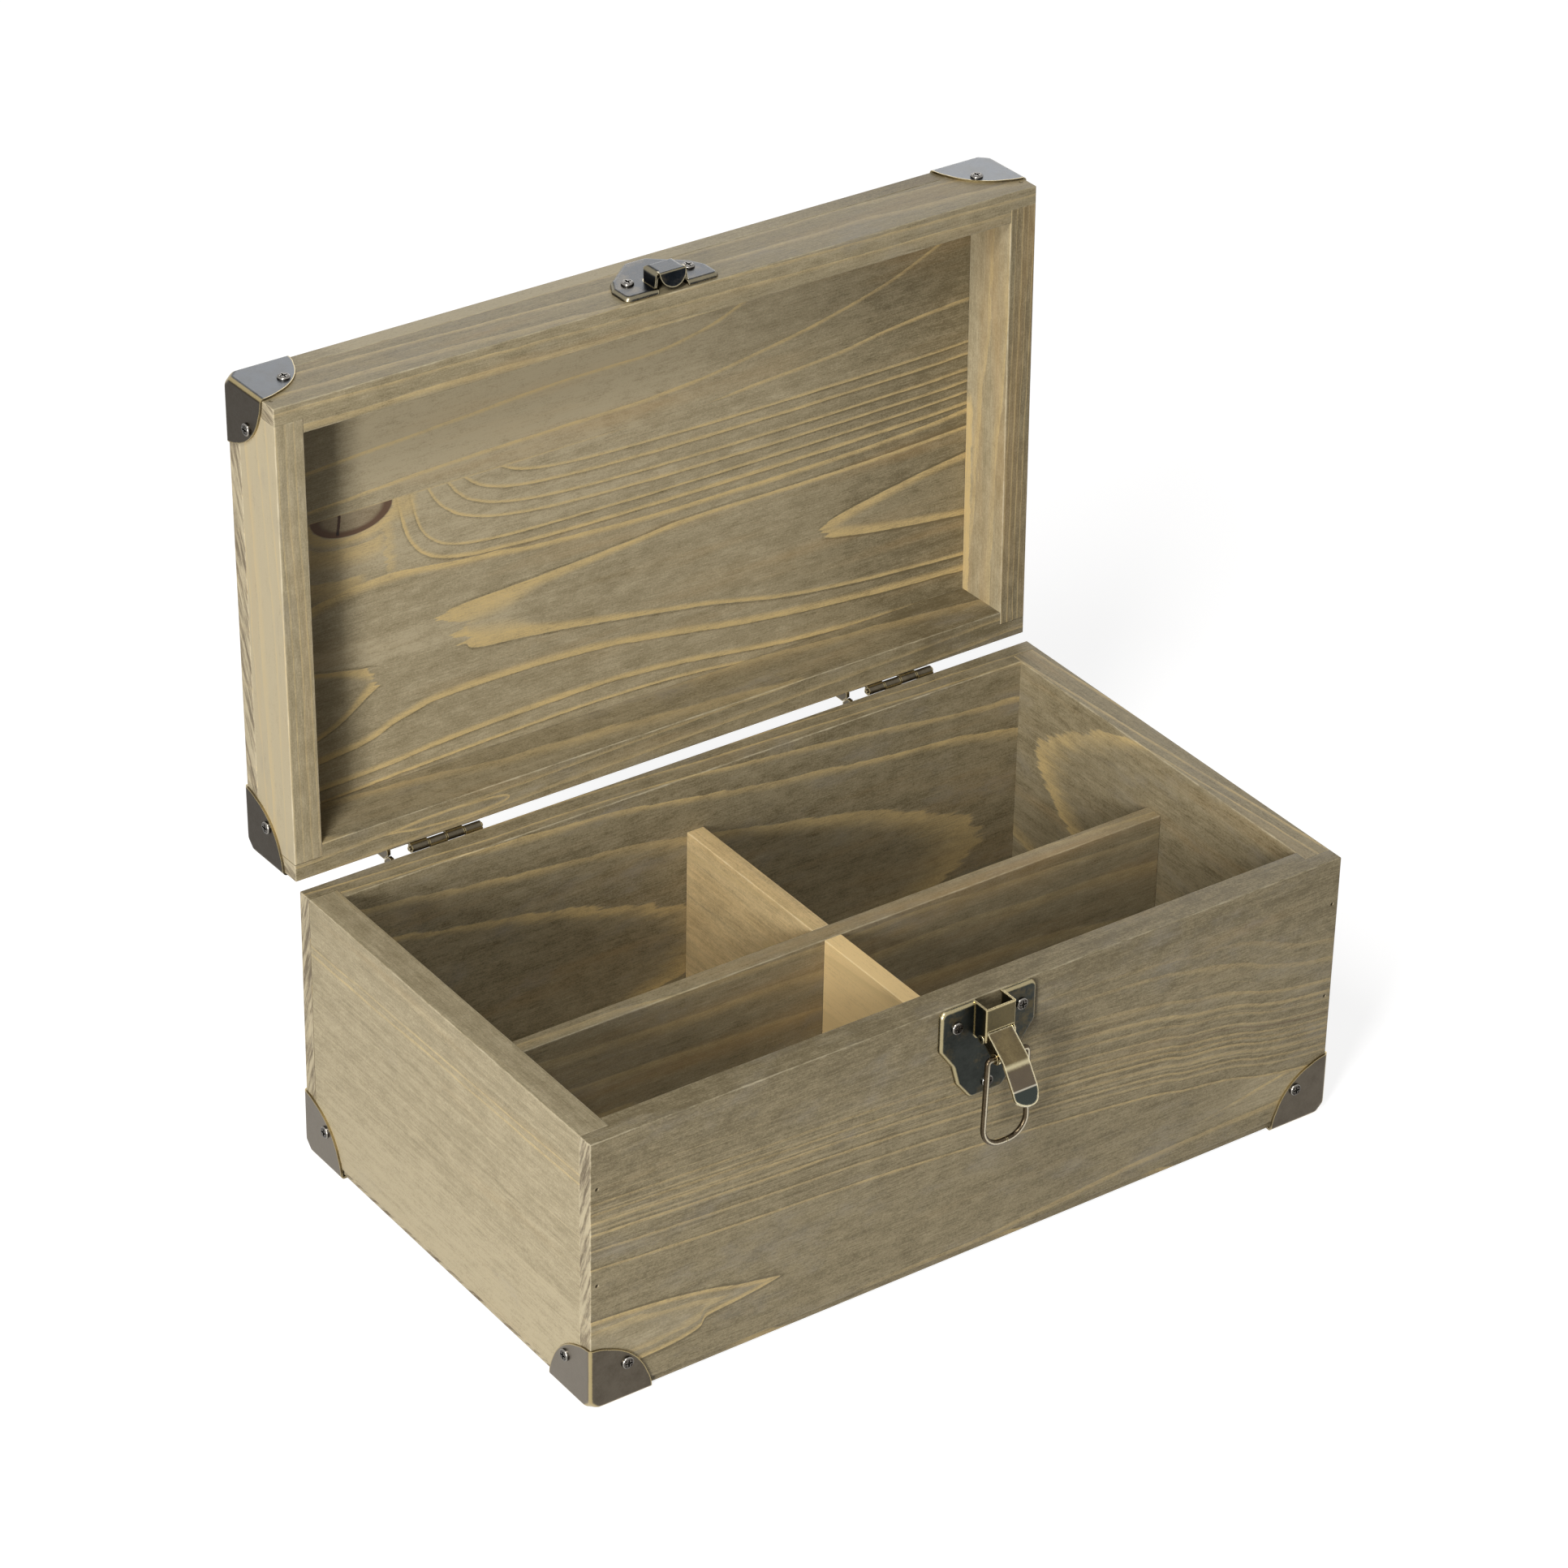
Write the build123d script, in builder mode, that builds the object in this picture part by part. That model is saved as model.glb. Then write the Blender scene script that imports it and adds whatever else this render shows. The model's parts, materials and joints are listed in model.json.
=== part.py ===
"""Wooden cassette tape case, standing open.

A rabbeted box with four compartments, a framed lid on two stop hinges, pressed corner brackets
and a draw latch. Millimetres, +Z up, +X to the right and the front at -Y. The origin is the
middle of the base, on the surface that the corner brackets stand on.
"""

from build123d import *
from math import cos, radians, sin, tan
import os

# ---- box ----
case_length = 325.0  # X, over the boards
case_depth = 188.0  # Y, over the boards
board_thickness = 11.7
board_height = 107.1
board_edge_round = 0.4
rabbet_lip = 6.45  # what the end rabbets leave of the front and rear boards
panel_thickness = 3.0
panel_inset = 1.0  # bottom panel, in from the boards' faces
panel_corner_round = 6.0  # both panels, under the corner brackets

# ---- dividers ----
divider_thickness = 7.5
divider_height = 83.4
long_divider_offset = -2.0  # the rear compartments are a little wider

# ---- lid ----
lid_depth = 187.5
lid_rail_thickness = 12.2
lid_stile_thickness = 11.5
lid_frame_height = 24.5
lid_panel_thickness = 7.5
lid_rabbet_lip = 6.8
lid_seam = 0.9  # between the two rims when shut
lid_open_angle = 91.3

# ---- corner brackets ----
bracket_thickness = 0.9
bracket_reach = 25.1  # radius of the quarter-round flanges, from the outer corner
bracket_fold_length = 25.6
bracket_flare = 8.0  # from each fold to where the flange's outline starts to flare out along it
bracket_flare_depth = 0.5
bracket_flare_round = 4.0
bracket_edge_round = 1.8
bracket_corner_cut = 4.5  # what the rounded corner takes off each fold
bracket_corner_round = 3.0
bracket_corner_wall = 0.7
bracket_screw_inset = 14.5

# ---- screws and brads ----
screw_head_radius = 2.4
screw_head_height = 1.0
screw_head_round = 0.7
screw_shank_radius = 1.4
screw_length = 9.5
screw_slot_length = 3.2
screw_slot_width = 0.8
screw_slot_depth = 0.7
pilot_clearance = 0.02
sheet_hole_clearance = 0.2
brad_radius = 0.75
brad_length = 22.0
brad_sink = 0.6
brad_edge_distance = 2.7
corner_brads = 2
box_brad_first = 48.0  # lower brad, above the boards' lower edge
box_brad_pitch = 40.0
lid_brad_first = 6.0  # lower brad, above the lid's rim when shut
lid_brad_pitch = 7.0
bottom_brad_columns = 5
bottom_brad_length = 12.0
lid_panel_brad_columns = 5
lid_panel_brad_length = 18.0

# ---- hinges ----
hinge_left_inset = 62.3  # from the end of the case to the middle of the barrel
hinge_right_inset = 59.6
hinge_length = 30.0
hinge_knuckles = 4
hinge_leaf_thickness = 1.0
hinge_leaf_height = 12.5
hinge_knuckle_radius = 1.65
hinge_pin_radius = 0.8
hinge_running_clearance = 0.05
hinge_knuckle_gap = 0.3
hinge_pin_overhang = 0.6
hinge_pin_offset = 2.0  # pin axis, out from the rear faces
hinge_stop_reach = 2.6  # stop flanges, out past the pin axis
hinge_stop_thickness = 1.3
hinge_stop_distance = 9.3  # from the barrel's end to the outer face of the stop flange
hinge_stop_gap = 0.3
hinge_screw_spacing = 19.0
hinge_screw_drop = 8.0

# ---- latch ----
latch_x = 2.2
sheet_thickness = 0.9
latch_plate_rise = 1.9  # outer face of the dished plates, out from the wood
latch_plate_round = 1.7
latch_plate_top_gap = 0.3  # below the rim of the box
latch_plate_half_width = 20.8
latch_plate_shoulder = 16.8  # height of the straight sides
latch_plate_length = 40.6
latch_plate_waist = (15.0, 25.0)  # half width, and distance below the rim
latch_plate_flare = (12.8, 33.0)
latch_plate_foot_half_width = 7.0
latch_corner_round = 3.0
latch_bridge_half_width = 6.5
latch_bridge_rise = 8.6
latch_bridge_face_height = 9.3
bridge_bend_round = 0.8
pin_cover = 2.1  # metal around the pivot pin, at the foot of the bridge walls
latch_screw_spread = 14.0
latch_screw_drop = 8.2
latch_lower_screw_drop = 35.3
pin_rise = 6.5  # lever pivot, out from the front board
pin_drop = 13.0  # lever pivot, below the rim
pin_radius = 1.2
pin_overhang = 0.6
pin_ring_radius = 1.7
pin_bore_radius = 0.7
ring_edge_round = 0.15
latch_running_clearance = 0.05

lever_slope = 37.2  # how far the lever hangs below level
lever_heel = -0.4
lever_bend_round = 1.2
lever_face = 2.9  # outer face of the lever, out from the pivot
lever_ridge = 11.75
lever_crease = (22.0, -0.5)
lever_hollow = (24.9, -2.2)
lever_tip = (28.0, -1.3)
lever_side_gap = 0.25
ear_radius = 2.4
rivet_distance = 8.2  # from the lever's pivot to the loop's axis
rivet_radius = 1.6
rivet_ring_radius = 2.1
rivet_ring_thickness = 0.5
wire_radius = 1.05
loop_top_half_width = 8.6
loop_bottom_half_width = 9.6
loop_length = 36.5
loop_top_bend = 1.35
loop_bottom_bend = 8.0
loop_joint_offset = 1.0
loop_joint_gap = 0.2

# ---- catch ----
catch_half_width = 20.2
catch_length = 26.0
catch_shoulder = 9.5
catch_knee = 15.5
catch_knee_half_width = 17.0
catch_top_half_width = 4.5
catch_corner_round = 3.0
catch_base_gap = 1.2  # from the lid's rim to the plate
catch_screw_spread = 13.0
catch_screw_height = 11.5
hood_rise = 7.6
hood_base_half_width = 7.4
hood_top_half_width = 6.3
hood_mouth = 1.8  # from the plate's lower edge to the hood's mouth
hood_crest = 7.0  # flat length of the hood, behind the mouth
hood_fall = 3.3  # length of the rounded back
hood_corner_round = 2.4
hood_plan_round = 5.2
tongue_half_width = 5.6
tongue_reach = 1.1
tongue_hollow = (1.2, 4.4)
tongue_bend_round = 0.8
tongue_tip_rise = 1.6
tongue_tip_gap = 0.5  # from the lid's rim to the tongue's tip

# ---- worked out from the sizes above ----
half_length = case_length / 2
half_depth = case_depth / 2
panel_base_z = bracket_thickness
board_base_z = panel_base_z + panel_thickness
rim_z = board_base_z + board_height
divider_top_z = board_base_z + divider_height
inner_x = half_length - board_thickness
inner_y = half_depth - board_thickness
front_y = -half_depth
lid_rim_z = rim_z + lid_seam
lid_frame_top_z = lid_rim_z + lid_frame_height
lid_top_z = lid_frame_top_z + lid_panel_thickness
lid_front_y = half_depth - lid_depth
pin_y = half_depth + hinge_pin_offset
hinge_z = rim_z + lid_seam / 2
hinge_axis = Axis((0, pin_y, hinge_z), (1, 0, 0))
pivot_y = front_y - pin_rise
pivot_z = rim_z - pin_drop
sides = (-1, 1)
cut_margin = 1.0  # how far a cut runs past the material it opens

os.makedirs("parts", exist_ok=True)


def save(part, label):
    """Write one finished piece."""
    part.label = label
    export_step(part, f"parts/{label}.step")


def save_on_lid(part, label):
    """Write a piece that is modelled on the shut lid, swung open about the hinge pins."""
    save(part.rotate(hinge_axis, -lid_open_angle), label)


def block(low, high, mode=Mode.ADD):
    """Box between two opposite corners."""
    size = [b - a for a, b in zip(low, high)]
    with Locations(tuple((a + b) / 2 for a, b in zip(low, high))):
        Box(*size, mode=mode)


def board(low, high):
    """Planed board with its edges just broken."""
    block(low, high)
    fillet(edges(), radius=board_edge_round)


def panel(low, high):
    """Planed panel that lies flat, with its four corners rounded to fit in the brackets."""
    block(low, high)
    fillet(edges().filter_by(Axis.Z), radius=panel_corner_round)
    fillet(edges().filter_by(Axis.Z, reverse=True), radius=board_edge_round)


def bore(seats, radius, depth):
    """Round holes straight into the surface at each seat."""
    with Locations(*seats):
        Hole(radius, depth)


# ---- one screw and one brad, seated on the plane Z = 0 and pointing down ----
with BuildPart(mode=Mode.PRIVATE) as screw:
    Cylinder(screw_head_radius, screw_head_height, align=(Align.CENTER, Align.CENTER, Align.MIN))
    fillet(edges().group_by(Axis.Z)[-1], radius=screw_head_round)
    with BuildSketch(Plane.XY.offset(screw_head_height)):
        Rectangle(screw_slot_length, screw_slot_width)
        Rectangle(screw_slot_width, screw_slot_length)
    extrude(amount=-screw_slot_depth, mode=Mode.SUBTRACT)
    Cylinder(screw_shank_radius, screw_length, align=(Align.CENTER, Align.CENTER, Align.MAX))


def screws(seats):
    """Screws driven in at each seat."""
    with Locations(*seats):
        add(screw.part)


def brads(seats, length):
    """Headless brads, sunk a little below each seat."""
    for seat in seats:
        with BuildSketch(seat.offset(-brad_sink)) as section:
            Circle(brad_radius)
        extrude(section.sketch, amount=-length)


def facing(x, y, z, normal):
    """Plane on a surface, with its normal pointing out."""
    return Plane(origin=(x, y, z), z_dir=normal)


# ---- where everything is fastened ----
pilot_radius = screw_shank_radius + pilot_clearance
sheet_hole_radius = screw_shank_radius + sheet_hole_clearance
brad_hole_radius = brad_radius + pilot_clearance


def bracket_seats(side_x, side_y, front, rear, z):
    """Two screw seats of a corner bracket: on the long face and on the end face."""
    face_y = front - bracket_thickness if side_y < 0 else rear + bracket_thickness
    x = side_x * (half_length - bracket_screw_inset)
    y = face_y - side_y * (bracket_screw_inset + bracket_thickness)
    long_face = facing(x, face_y, z, (0, side_y, 0))
    end_face = facing(side_x * (half_length + bracket_thickness), y, z, (side_x, 0, 0))
    return long_face, end_face


box_bracket_z = panel_base_z + bracket_screw_inset
lid_bracket_z = lid_top_z - bracket_screw_inset
corners = [(side_x, side_y) for side_y in sides for side_x in sides]
box_corner_seats = {c: bracket_seats(*c, front_y, half_depth, box_bracket_z) for c in corners}
lid_corner_seats = {c: bracket_seats(*c, lid_front_y, half_depth, lid_bracket_z) for c in corners}

box_brad_z = [board_base_z + box_brad_first + i * box_brad_pitch for i in range(corner_brads)]
lid_brad_z = [lid_rim_z + lid_brad_first + i * lid_brad_pitch for i in range(corner_brads)]
brad_x = half_length - brad_edge_distance


def end_brad_seats(side_y, face_y, heights):
    """Brads through the rabbet lips at both ends of a board."""
    return [facing(s * brad_x, face_y, z, (0, side_y, 0)) for s in sides for z in heights]


front_brad_seats = end_brad_seats(-1, front_y, box_brad_z)
rear_brad_seats = end_brad_seats(1, half_depth, box_brad_z)
lid_front_brad_seats = end_brad_seats(-1, lid_front_y, lid_brad_z)
lid_rear_brad_seats = end_brad_seats(1, half_depth, lid_brad_z)


def row(count, reach):
    """Evenly spaced positions from -reach to reach."""
    return [reach * (2 * i / (count - 1) - 1) for i in range(count)]


panel_brad_reach = half_length - 2 * bracket_reach
panel_brad_y = half_depth - board_thickness / 2
bottom_brad_seats = [
    facing(x, s * panel_brad_y, panel_base_z, (0, 0, -1))
    for s in sides
    for x in row(bottom_brad_columns, panel_brad_reach)
]
lid_panel_brad_seats = [
    facing(x, y, lid_top_z, (0, 0, 1))
    for y in (lid_front_y + lid_rail_thickness / 2, half_depth - lid_rail_thickness / 2)
    for x in row(lid_panel_brad_columns, panel_brad_reach)
]

plate_face_y = front_y - latch_plate_rise
upper_latch_screw_z = rim_z - latch_screw_drop
lower_latch_screw_z = rim_z - latch_lower_screw_drop
latch_seats = [
    facing(latch_x - latch_screw_spread, plate_face_y, upper_latch_screw_z, (0, -1, 0)),
    facing(latch_x + latch_screw_spread, plate_face_y, upper_latch_screw_z, (0, -1, 0)),
    facing(latch_x, plate_face_y, lower_latch_screw_z, (0, -1, 0)),
]
catch_face_y = lid_front_y - latch_plate_rise
catch_seats = [
    facing(latch_x + s * catch_screw_spread, catch_face_y, lid_rim_z + catch_screw_height, (0, -1, 0))
    for s in sides
]

hinges = {"left": hinge_left_inset - half_length, "right": half_length - hinge_right_inset}
leaf_face_y = half_depth + hinge_leaf_thickness


def hinge_seats(x, direction):
    """Screw seats of one leaf; direction is -1 for the box leaf and 1 for the lid leaf."""
    z = hinge_z + direction * hinge_screw_drop
    return [facing(x + s * hinge_screw_spacing / 2, leaf_face_y, z, (0, 1, 0)) for s in sides]


hinge_box_seats = [seat for x in hinges.values() for seat in hinge_seats(x, -1)]
hinge_lid_seats = [seat for x in hinges.values() for seat in hinge_seats(x, 1)]

# ---- box boards: the long boards lap the side boards in rabbets ----
for label, side_y, seats, brad_seats in (
    ("front_board", -1, latch_seats, front_brad_seats),
    ("rear_board", 1, hinge_box_seats, rear_brad_seats),
):
    outer, inner = side_y * half_depth, side_y * inner_y
    lap = side_y * (half_depth - rabbet_lip)
    with BuildPart() as long_board:
        board((-half_length, min(outer, inner), board_base_z), (half_length, max(outer, inner), rim_z))
        for s in sides:
            ends = sorted((s * inner_x, s * (half_length + cut_margin)))
            cheek = sorted((lap, side_y * (inner_y - cut_margin)))
            block(
                (ends[0], cheek[0], board_base_z - cut_margin),
                (ends[1], cheek[1], rim_z + cut_margin),
                Mode.SUBTRACT,
            )
            bore([box_corner_seats[s, side_y][0]], pilot_radius, screw_length)
        bore(seats, pilot_radius, screw_length)
        bore(brad_seats, brad_hole_radius, brad_sink + brad_length)
        bore(bottom_brad_seats, brad_hole_radius, brad_sink + bottom_brad_length)
    save(long_board.part, label)

for label, side_x in (("left_side_board", -1), ("right_side_board", 1)):
    across = sorted((side_x * inner_x, side_x * half_length))
    side_y_reach = half_depth - rabbet_lip
    with BuildPart() as side_board:
        board((across[0], -side_y_reach, board_base_z), (across[1], side_y_reach, rim_z))
        for s in sides:
            bore([box_corner_seats[side_x, s][1]], pilot_radius, screw_length)
        bore(front_brad_seats + rear_brad_seats, brad_hole_radius, brad_sink + brad_length)
    save(side_board.part, label)

# ---- bottom panel and dividers ----
with BuildPart() as bottom_panel:
    panel(
        (panel_inset - half_length, panel_inset - half_depth, panel_base_z),
        (half_length - panel_inset, half_depth - panel_inset, board_base_z),
    )
    bore(bottom_brad_seats, brad_hole_radius, brad_sink + bottom_brad_length)
save(bottom_panel.part, "bottom_panel")

long_divider_front = long_divider_offset - divider_thickness / 2
long_divider_rear = long_divider_offset + divider_thickness / 2
with BuildPart() as long_divider:
    board((-inner_x, long_divider_front, board_base_z), (inner_x, long_divider_rear, divider_top_z))
save(long_divider.part, "long_divider")

for label, low_y, high_y in (
    ("front_short_divider", -inner_y, long_divider_front),
    ("rear_short_divider", long_divider_rear, inner_y),
):
    with BuildPart() as short_divider:
        board((-divider_thickness / 2, low_y, board_base_z), (divider_thickness / 2, high_y, divider_top_z))
    save(short_divider.part, label)


# ---- corner brackets: a pressed cup, modelled with its corner at the origin ----
def corner_block(start, corner_cut):
    """Cube in the positive octant, with the corner nearest the origin cut off flat."""
    with Locations((start, start, start)):
        Box(*[bracket_fold_length] * 3, align=(Align.MIN, Align.MIN, Align.MIN))
    middle = start + corner_cut / 3
    split(bisect_by=Plane(origin=(middle, middle, middle), z_dir=(1, 1, 1)), keep=Keep.TOP)


hollow_corner_cut = bracket_corner_cut - 3 * bracket_thickness + 3**0.5 * bracket_corner_wall
flare_height = (bracket_reach**2 - bracket_flare**2) ** 0.5
with BuildPart(mode=Mode.PRIVATE) as bracket_hollow:
    corner_block(bracket_thickness, hollow_corner_cut)
with BuildPart(mode=Mode.PRIVATE) as bracket_cup:
    corner_block(0, bracket_corner_cut)
    fillet(faces().sort_by_distance((0, 0, 0))[0].edges(), radius=bracket_corner_round)
    folds = [edges().filter_by(axis).sort_by_distance((0, 0, 0))[0] for axis in (Axis.X, Axis.Y, Axis.Z)]
    fillet(folds, radius=bracket_edge_round)
    add(bracket_hollow.part, mode=Mode.SUBTRACT)
    for plane in (Plane.XY, Plane.YZ, Plane.ZX):
        with BuildSketch(plane) as outline:
            with BuildLine():
                first = SagittaArc((0, bracket_fold_length), (bracket_flare, flare_height), bracket_flare_depth)
                last = SagittaArc((flare_height, bracket_flare), (bracket_fold_length, 0), bracket_flare_depth)
                RadiusArc(first @ 1, last @ 0, bracket_reach)
                Polyline(last @ 1, (0, 0), first @ 0)
            make_face()
            kinks = [outline.vertices().sort_by_distance(flare)[0] for flare in (first @ 1, last @ 0)]
            fillet(kinks, radius=bracket_flare_round)
        extrude(outline.sketch, amount=bracket_fold_length, mode=Mode.INTERSECT)


def corner_bracket(side_x, side_y, side_z, face_y, face_z, seats):
    """Bracket over the corner where the end face, a long face and the base or the top meet."""
    outer = Vector(side_x * half_length, face_y, face_z) + Vector(side_x, side_y, side_z) * bracket_thickness
    cup = bracket_cup.part
    for side, mirror_plane in ((side_x, Plane.YZ), (side_y, Plane.XZ), (side_z, Plane.XY)):
        if side > 0:
            cup = mirror(cup, about=mirror_plane)
    with BuildPart() as bracket:
        with Locations(outer):
            add(cup)
        bore(seats, sheet_hole_radius, 2 * bracket_thickness)
    return bracket.part


corner_names = {(-1, -1): "front_left", (1, -1): "front_right", (-1, 1): "rear_left", (1, 1): "rear_right"}
for (side_x, side_y), corner_name in corner_names.items():
    box_face_y = side_y * half_depth
    seats = box_corner_seats[side_x, side_y]
    save(corner_bracket(side_x, side_y, -1, box_face_y, panel_base_z, seats), f"bracket_{corner_name}")
    lid_face_y = lid_front_y if side_y < 0 else half_depth
    seats = lid_corner_seats[side_x, side_y]
    lid_bracket = corner_bracket(side_x, side_y, 1, lid_face_y, lid_top_z, seats)
    save_on_lid(lid_bracket, f"lid_bracket_{corner_name}")

with BuildPart() as box_bracket_screws:
    screws([seat for pair in box_corner_seats.values() for seat in pair])
save(box_bracket_screws.part, "box_bracket_screws")

with BuildPart() as box_brads:
    brads(front_brad_seats + rear_brad_seats, brad_length)
save(box_brads.part, "box_brads")

with BuildPart() as bottom_panel_brads:
    brads(bottom_brad_seats, bottom_brad_length)
save(bottom_panel_brads.part, "bottom_panel_brads")

# ---- latch plate: dished sheet with a bridge raised out of its middle ----
latch_plane = Plane(origin=(latch_x, front_y, rim_z), x_dir=(1, 0, 0), z_dir=(0, -1, 0))


def dished_plate(plane, outline, corner_round):
    """Pressed sheet whose rolled edge rests on the wood, hollow behind its face."""
    with BuildSketch(plane) as face:
        with BuildLine():
            Polyline(*outline, close=True)
        make_face()
        fillet(face.vertices(), radius=corner_round)
    extrude(face.sketch, amount=latch_plate_rise)
    fillet(faces().sort_by(Axis.Y)[0].edges(), radius=latch_plate_round)
    with BuildSketch(plane) as hollow:
        add(face.sketch_local)
        offset(amount=-sheet_thickness, mode=Mode.REPLACE)
    extrude(hollow.sketch, amount=latch_plate_rise - sheet_thickness, mode=Mode.SUBTRACT)


def mirrored(half_outline):
    """Closed outline, from its right-hand half listed from the top down."""
    return half_outline + [(-x, y) for x, y in reversed(half_outline)]


latch_outline = mirrored(
    [
        (latch_plate_half_width, -latch_plate_top_gap),
        (latch_plate_half_width, -latch_plate_shoulder),
        (latch_plate_waist[0], -latch_plate_waist[1]),
        (latch_plate_flare[0], -latch_plate_flare[1]),
        (latch_plate_foot_half_width, -latch_plate_length),
    ]
)
bridge_inner = latch_bridge_half_width - sheet_thickness
bridge_face_y = front_y - latch_bridge_rise
bridge_wall_z = pivot_z - pin_cover
with BuildPart() as latch_plate:
    dished_plate(latch_plane, latch_outline, latch_corner_round)
    block(
        (latch_x - latch_bridge_half_width, bridge_face_y, bridge_wall_z),
        (latch_x + latch_bridge_half_width, plate_face_y + sheet_thickness, rim_z - latch_plate_top_gap),
    )
    fillet(edges().filter_by(Axis.Z).group_by(Axis.Y)[0], radius=bridge_bend_round)
    foot = edges().filter_by(Axis.X).sort_by_distance((latch_x, bridge_face_y, bridge_wall_z))[0]
    fillet(foot, radius=pin_cover)
    block(
        (latch_x - bridge_inner, bridge_face_y + sheet_thickness, bridge_wall_z),
        (latch_x + bridge_inner, front_y + cut_margin, rim_z + cut_margin),
        Mode.SUBTRACT,
    )
    block(
        (latch_x - bridge_inner, bridge_face_y - cut_margin, bridge_wall_z),
        (latch_x + bridge_inner, front_y, rim_z - latch_plate_top_gap - latch_bridge_face_height),
        Mode.SUBTRACT,
    )
    bore(latch_seats, sheet_hole_radius, latch_plate_rise)
    with BuildSketch(Plane.YZ.offset(latch_x)):
        with Locations((pivot_y, pivot_z)):
            Circle(pin_radius + pilot_clearance)
    extrude(amount=2 * latch_bridge_half_width, both=True, mode=Mode.SUBTRACT)
save(latch_plate.part, "latch_plate")

with BuildPart() as latch_plate_screws:
    screws(latch_seats)
save(latch_plate_screws.part, "latch_plate_screws")


def tube_with_rings(plane, radius, bore_radius, half_length_inside, ring_radius, ring_thickness):
    """Tubular rivet along the plane's normal, with a flared ring past each end."""
    with BuildSketch(plane) as barrel:
        Circle(radius)
    extrude(barrel.sketch, amount=half_length_inside, both=True)
    for direction in sides:
        with BuildSketch(plane.offset(direction * half_length_inside)) as ring:
            Circle(ring_radius)
        extrude(ring.sketch, amount=direction * ring_thickness)
    fillet(edges().filter_by(GeomType.CIRCLE).group_by(SortBy.RADIUS)[-1], radius=ring_edge_round)
    with BuildSketch(plane) as hollow:
        Circle(bore_radius)
    extrude(hollow.sketch, amount=half_length_inside + 2 * ring_thickness, both=True, mode=Mode.SUBTRACT)


with BuildPart() as latch_pivot_pin:
    pin_plane = Plane(origin=(latch_x, pivot_y, pivot_z), z_dir=(1, 0, 0))
    ends = latch_bridge_half_width + pilot_clearance
    tube_with_rings(pin_plane, pin_radius, pin_bore_radius, ends, pin_ring_radius, pin_overhang)
save(latch_pivot_pin.part, "latch_pivot_pin")

# ---- lever: bent strip with two ears, on the pivot pin ----
slope = radians(lever_slope)
downhill = Vector(0, -cos(slope), -sin(slope))
lever_plane = Plane(origin=(latch_x, pivot_y, pivot_z), x_dir=downhill, z_dir=(-1, 0, 0))
lever_plan = Plane(origin=(latch_x, pivot_y, pivot_z), x_dir=downhill, z_dir=(0, -sin(slope), cos(slope)))
lever_half_width = bridge_inner - lever_side_gap
with BuildPart() as latch_lever:
    with BuildSketch(lever_plane):
        with BuildLine():
            FilletPolyline(
                (lever_heel, lever_face),
                (lever_ridge, lever_face),
                lever_crease,
                lever_hollow,
                lever_tip,
                radius=lever_bend_round,
            )
            offset(amount=sheet_thickness, side=Side.RIGHT)
        make_face()
    extrude(amount=lever_half_width, both=True)
    with BuildSketch(lever_plan):
        with Locations((lever_tip[0] - lever_half_width, 0)):
            Circle(lever_half_width)
            Rectangle(lever_tip[0], 2 * lever_half_width, align=(Align.MAX, Align.CENTER))
    extrude(amount=2 * lever_half_width, both=True, mode=Mode.INTERSECT)
    for s in sides:
        with BuildSketch(lever_plane.offset(s * (lever_half_width - sheet_thickness / 2))):
            with Locations((rivet_distance / 2, 0)):
                SlotCenterToCenter(rivet_distance, 2 * ear_radius)
            Circle(pin_radius + latch_running_clearance, mode=Mode.SUBTRACT)
            with Locations((rivet_distance, 0)):
                Circle(rivet_radius + latch_running_clearance, mode=Mode.SUBTRACT)
        extrude(amount=sheet_thickness / 2, both=True)
save(latch_lever.part, "latch_lever")

rivet_centre = lever_plane.from_local_coords(Vector(rivet_distance, 0, 0))
with BuildPart() as latch_loop_rivet:
    rivet_plane = Plane(origin=rivet_centre, z_dir=(1, 0, 0))
    bore_radius = wire_radius + latch_running_clearance
    ends = lever_half_width + lever_side_gap / 2
    tube_with_rings(
        rivet_plane, rivet_radius, bore_radius, ends, rivet_ring_radius, rivet_ring_thickness
    )
save(latch_loop_rivet.part, "latch_loop_rivet")

# ---- wire loop: hangs plumb from the rivet, its two ends butted at the bottom ----
loop_plane = Plane(origin=rivet_centre, x_dir=(1, 0, 0), z_dir=(0, -1, 0))
with BuildPart() as latch_wire_loop:
    with BuildLine(loop_plane) as loop_path:
        FilletPolyline(
            (loop_joint_offset + loop_joint_gap / 2, -loop_length),
            (loop_bottom_half_width, -loop_length),
            (loop_top_half_width, 0),
            (-loop_top_half_width, 0),
            (-loop_bottom_half_width, -loop_length),
            (loop_joint_offset - loop_joint_gap / 2, -loop_length),
            radius=(loop_bottom_bend, loop_top_bend, loop_top_bend, loop_bottom_bend),
        )
    loop_wire = loop_path.wires()[0]
    with BuildSketch(Plane(origin=loop_wire @ 0, z_dir=loop_wire % 0)):
        Circle(wire_radius)
    sweep(path=loop_wire)
save(latch_wire_loop.part, "latch_wire_loop")


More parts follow.
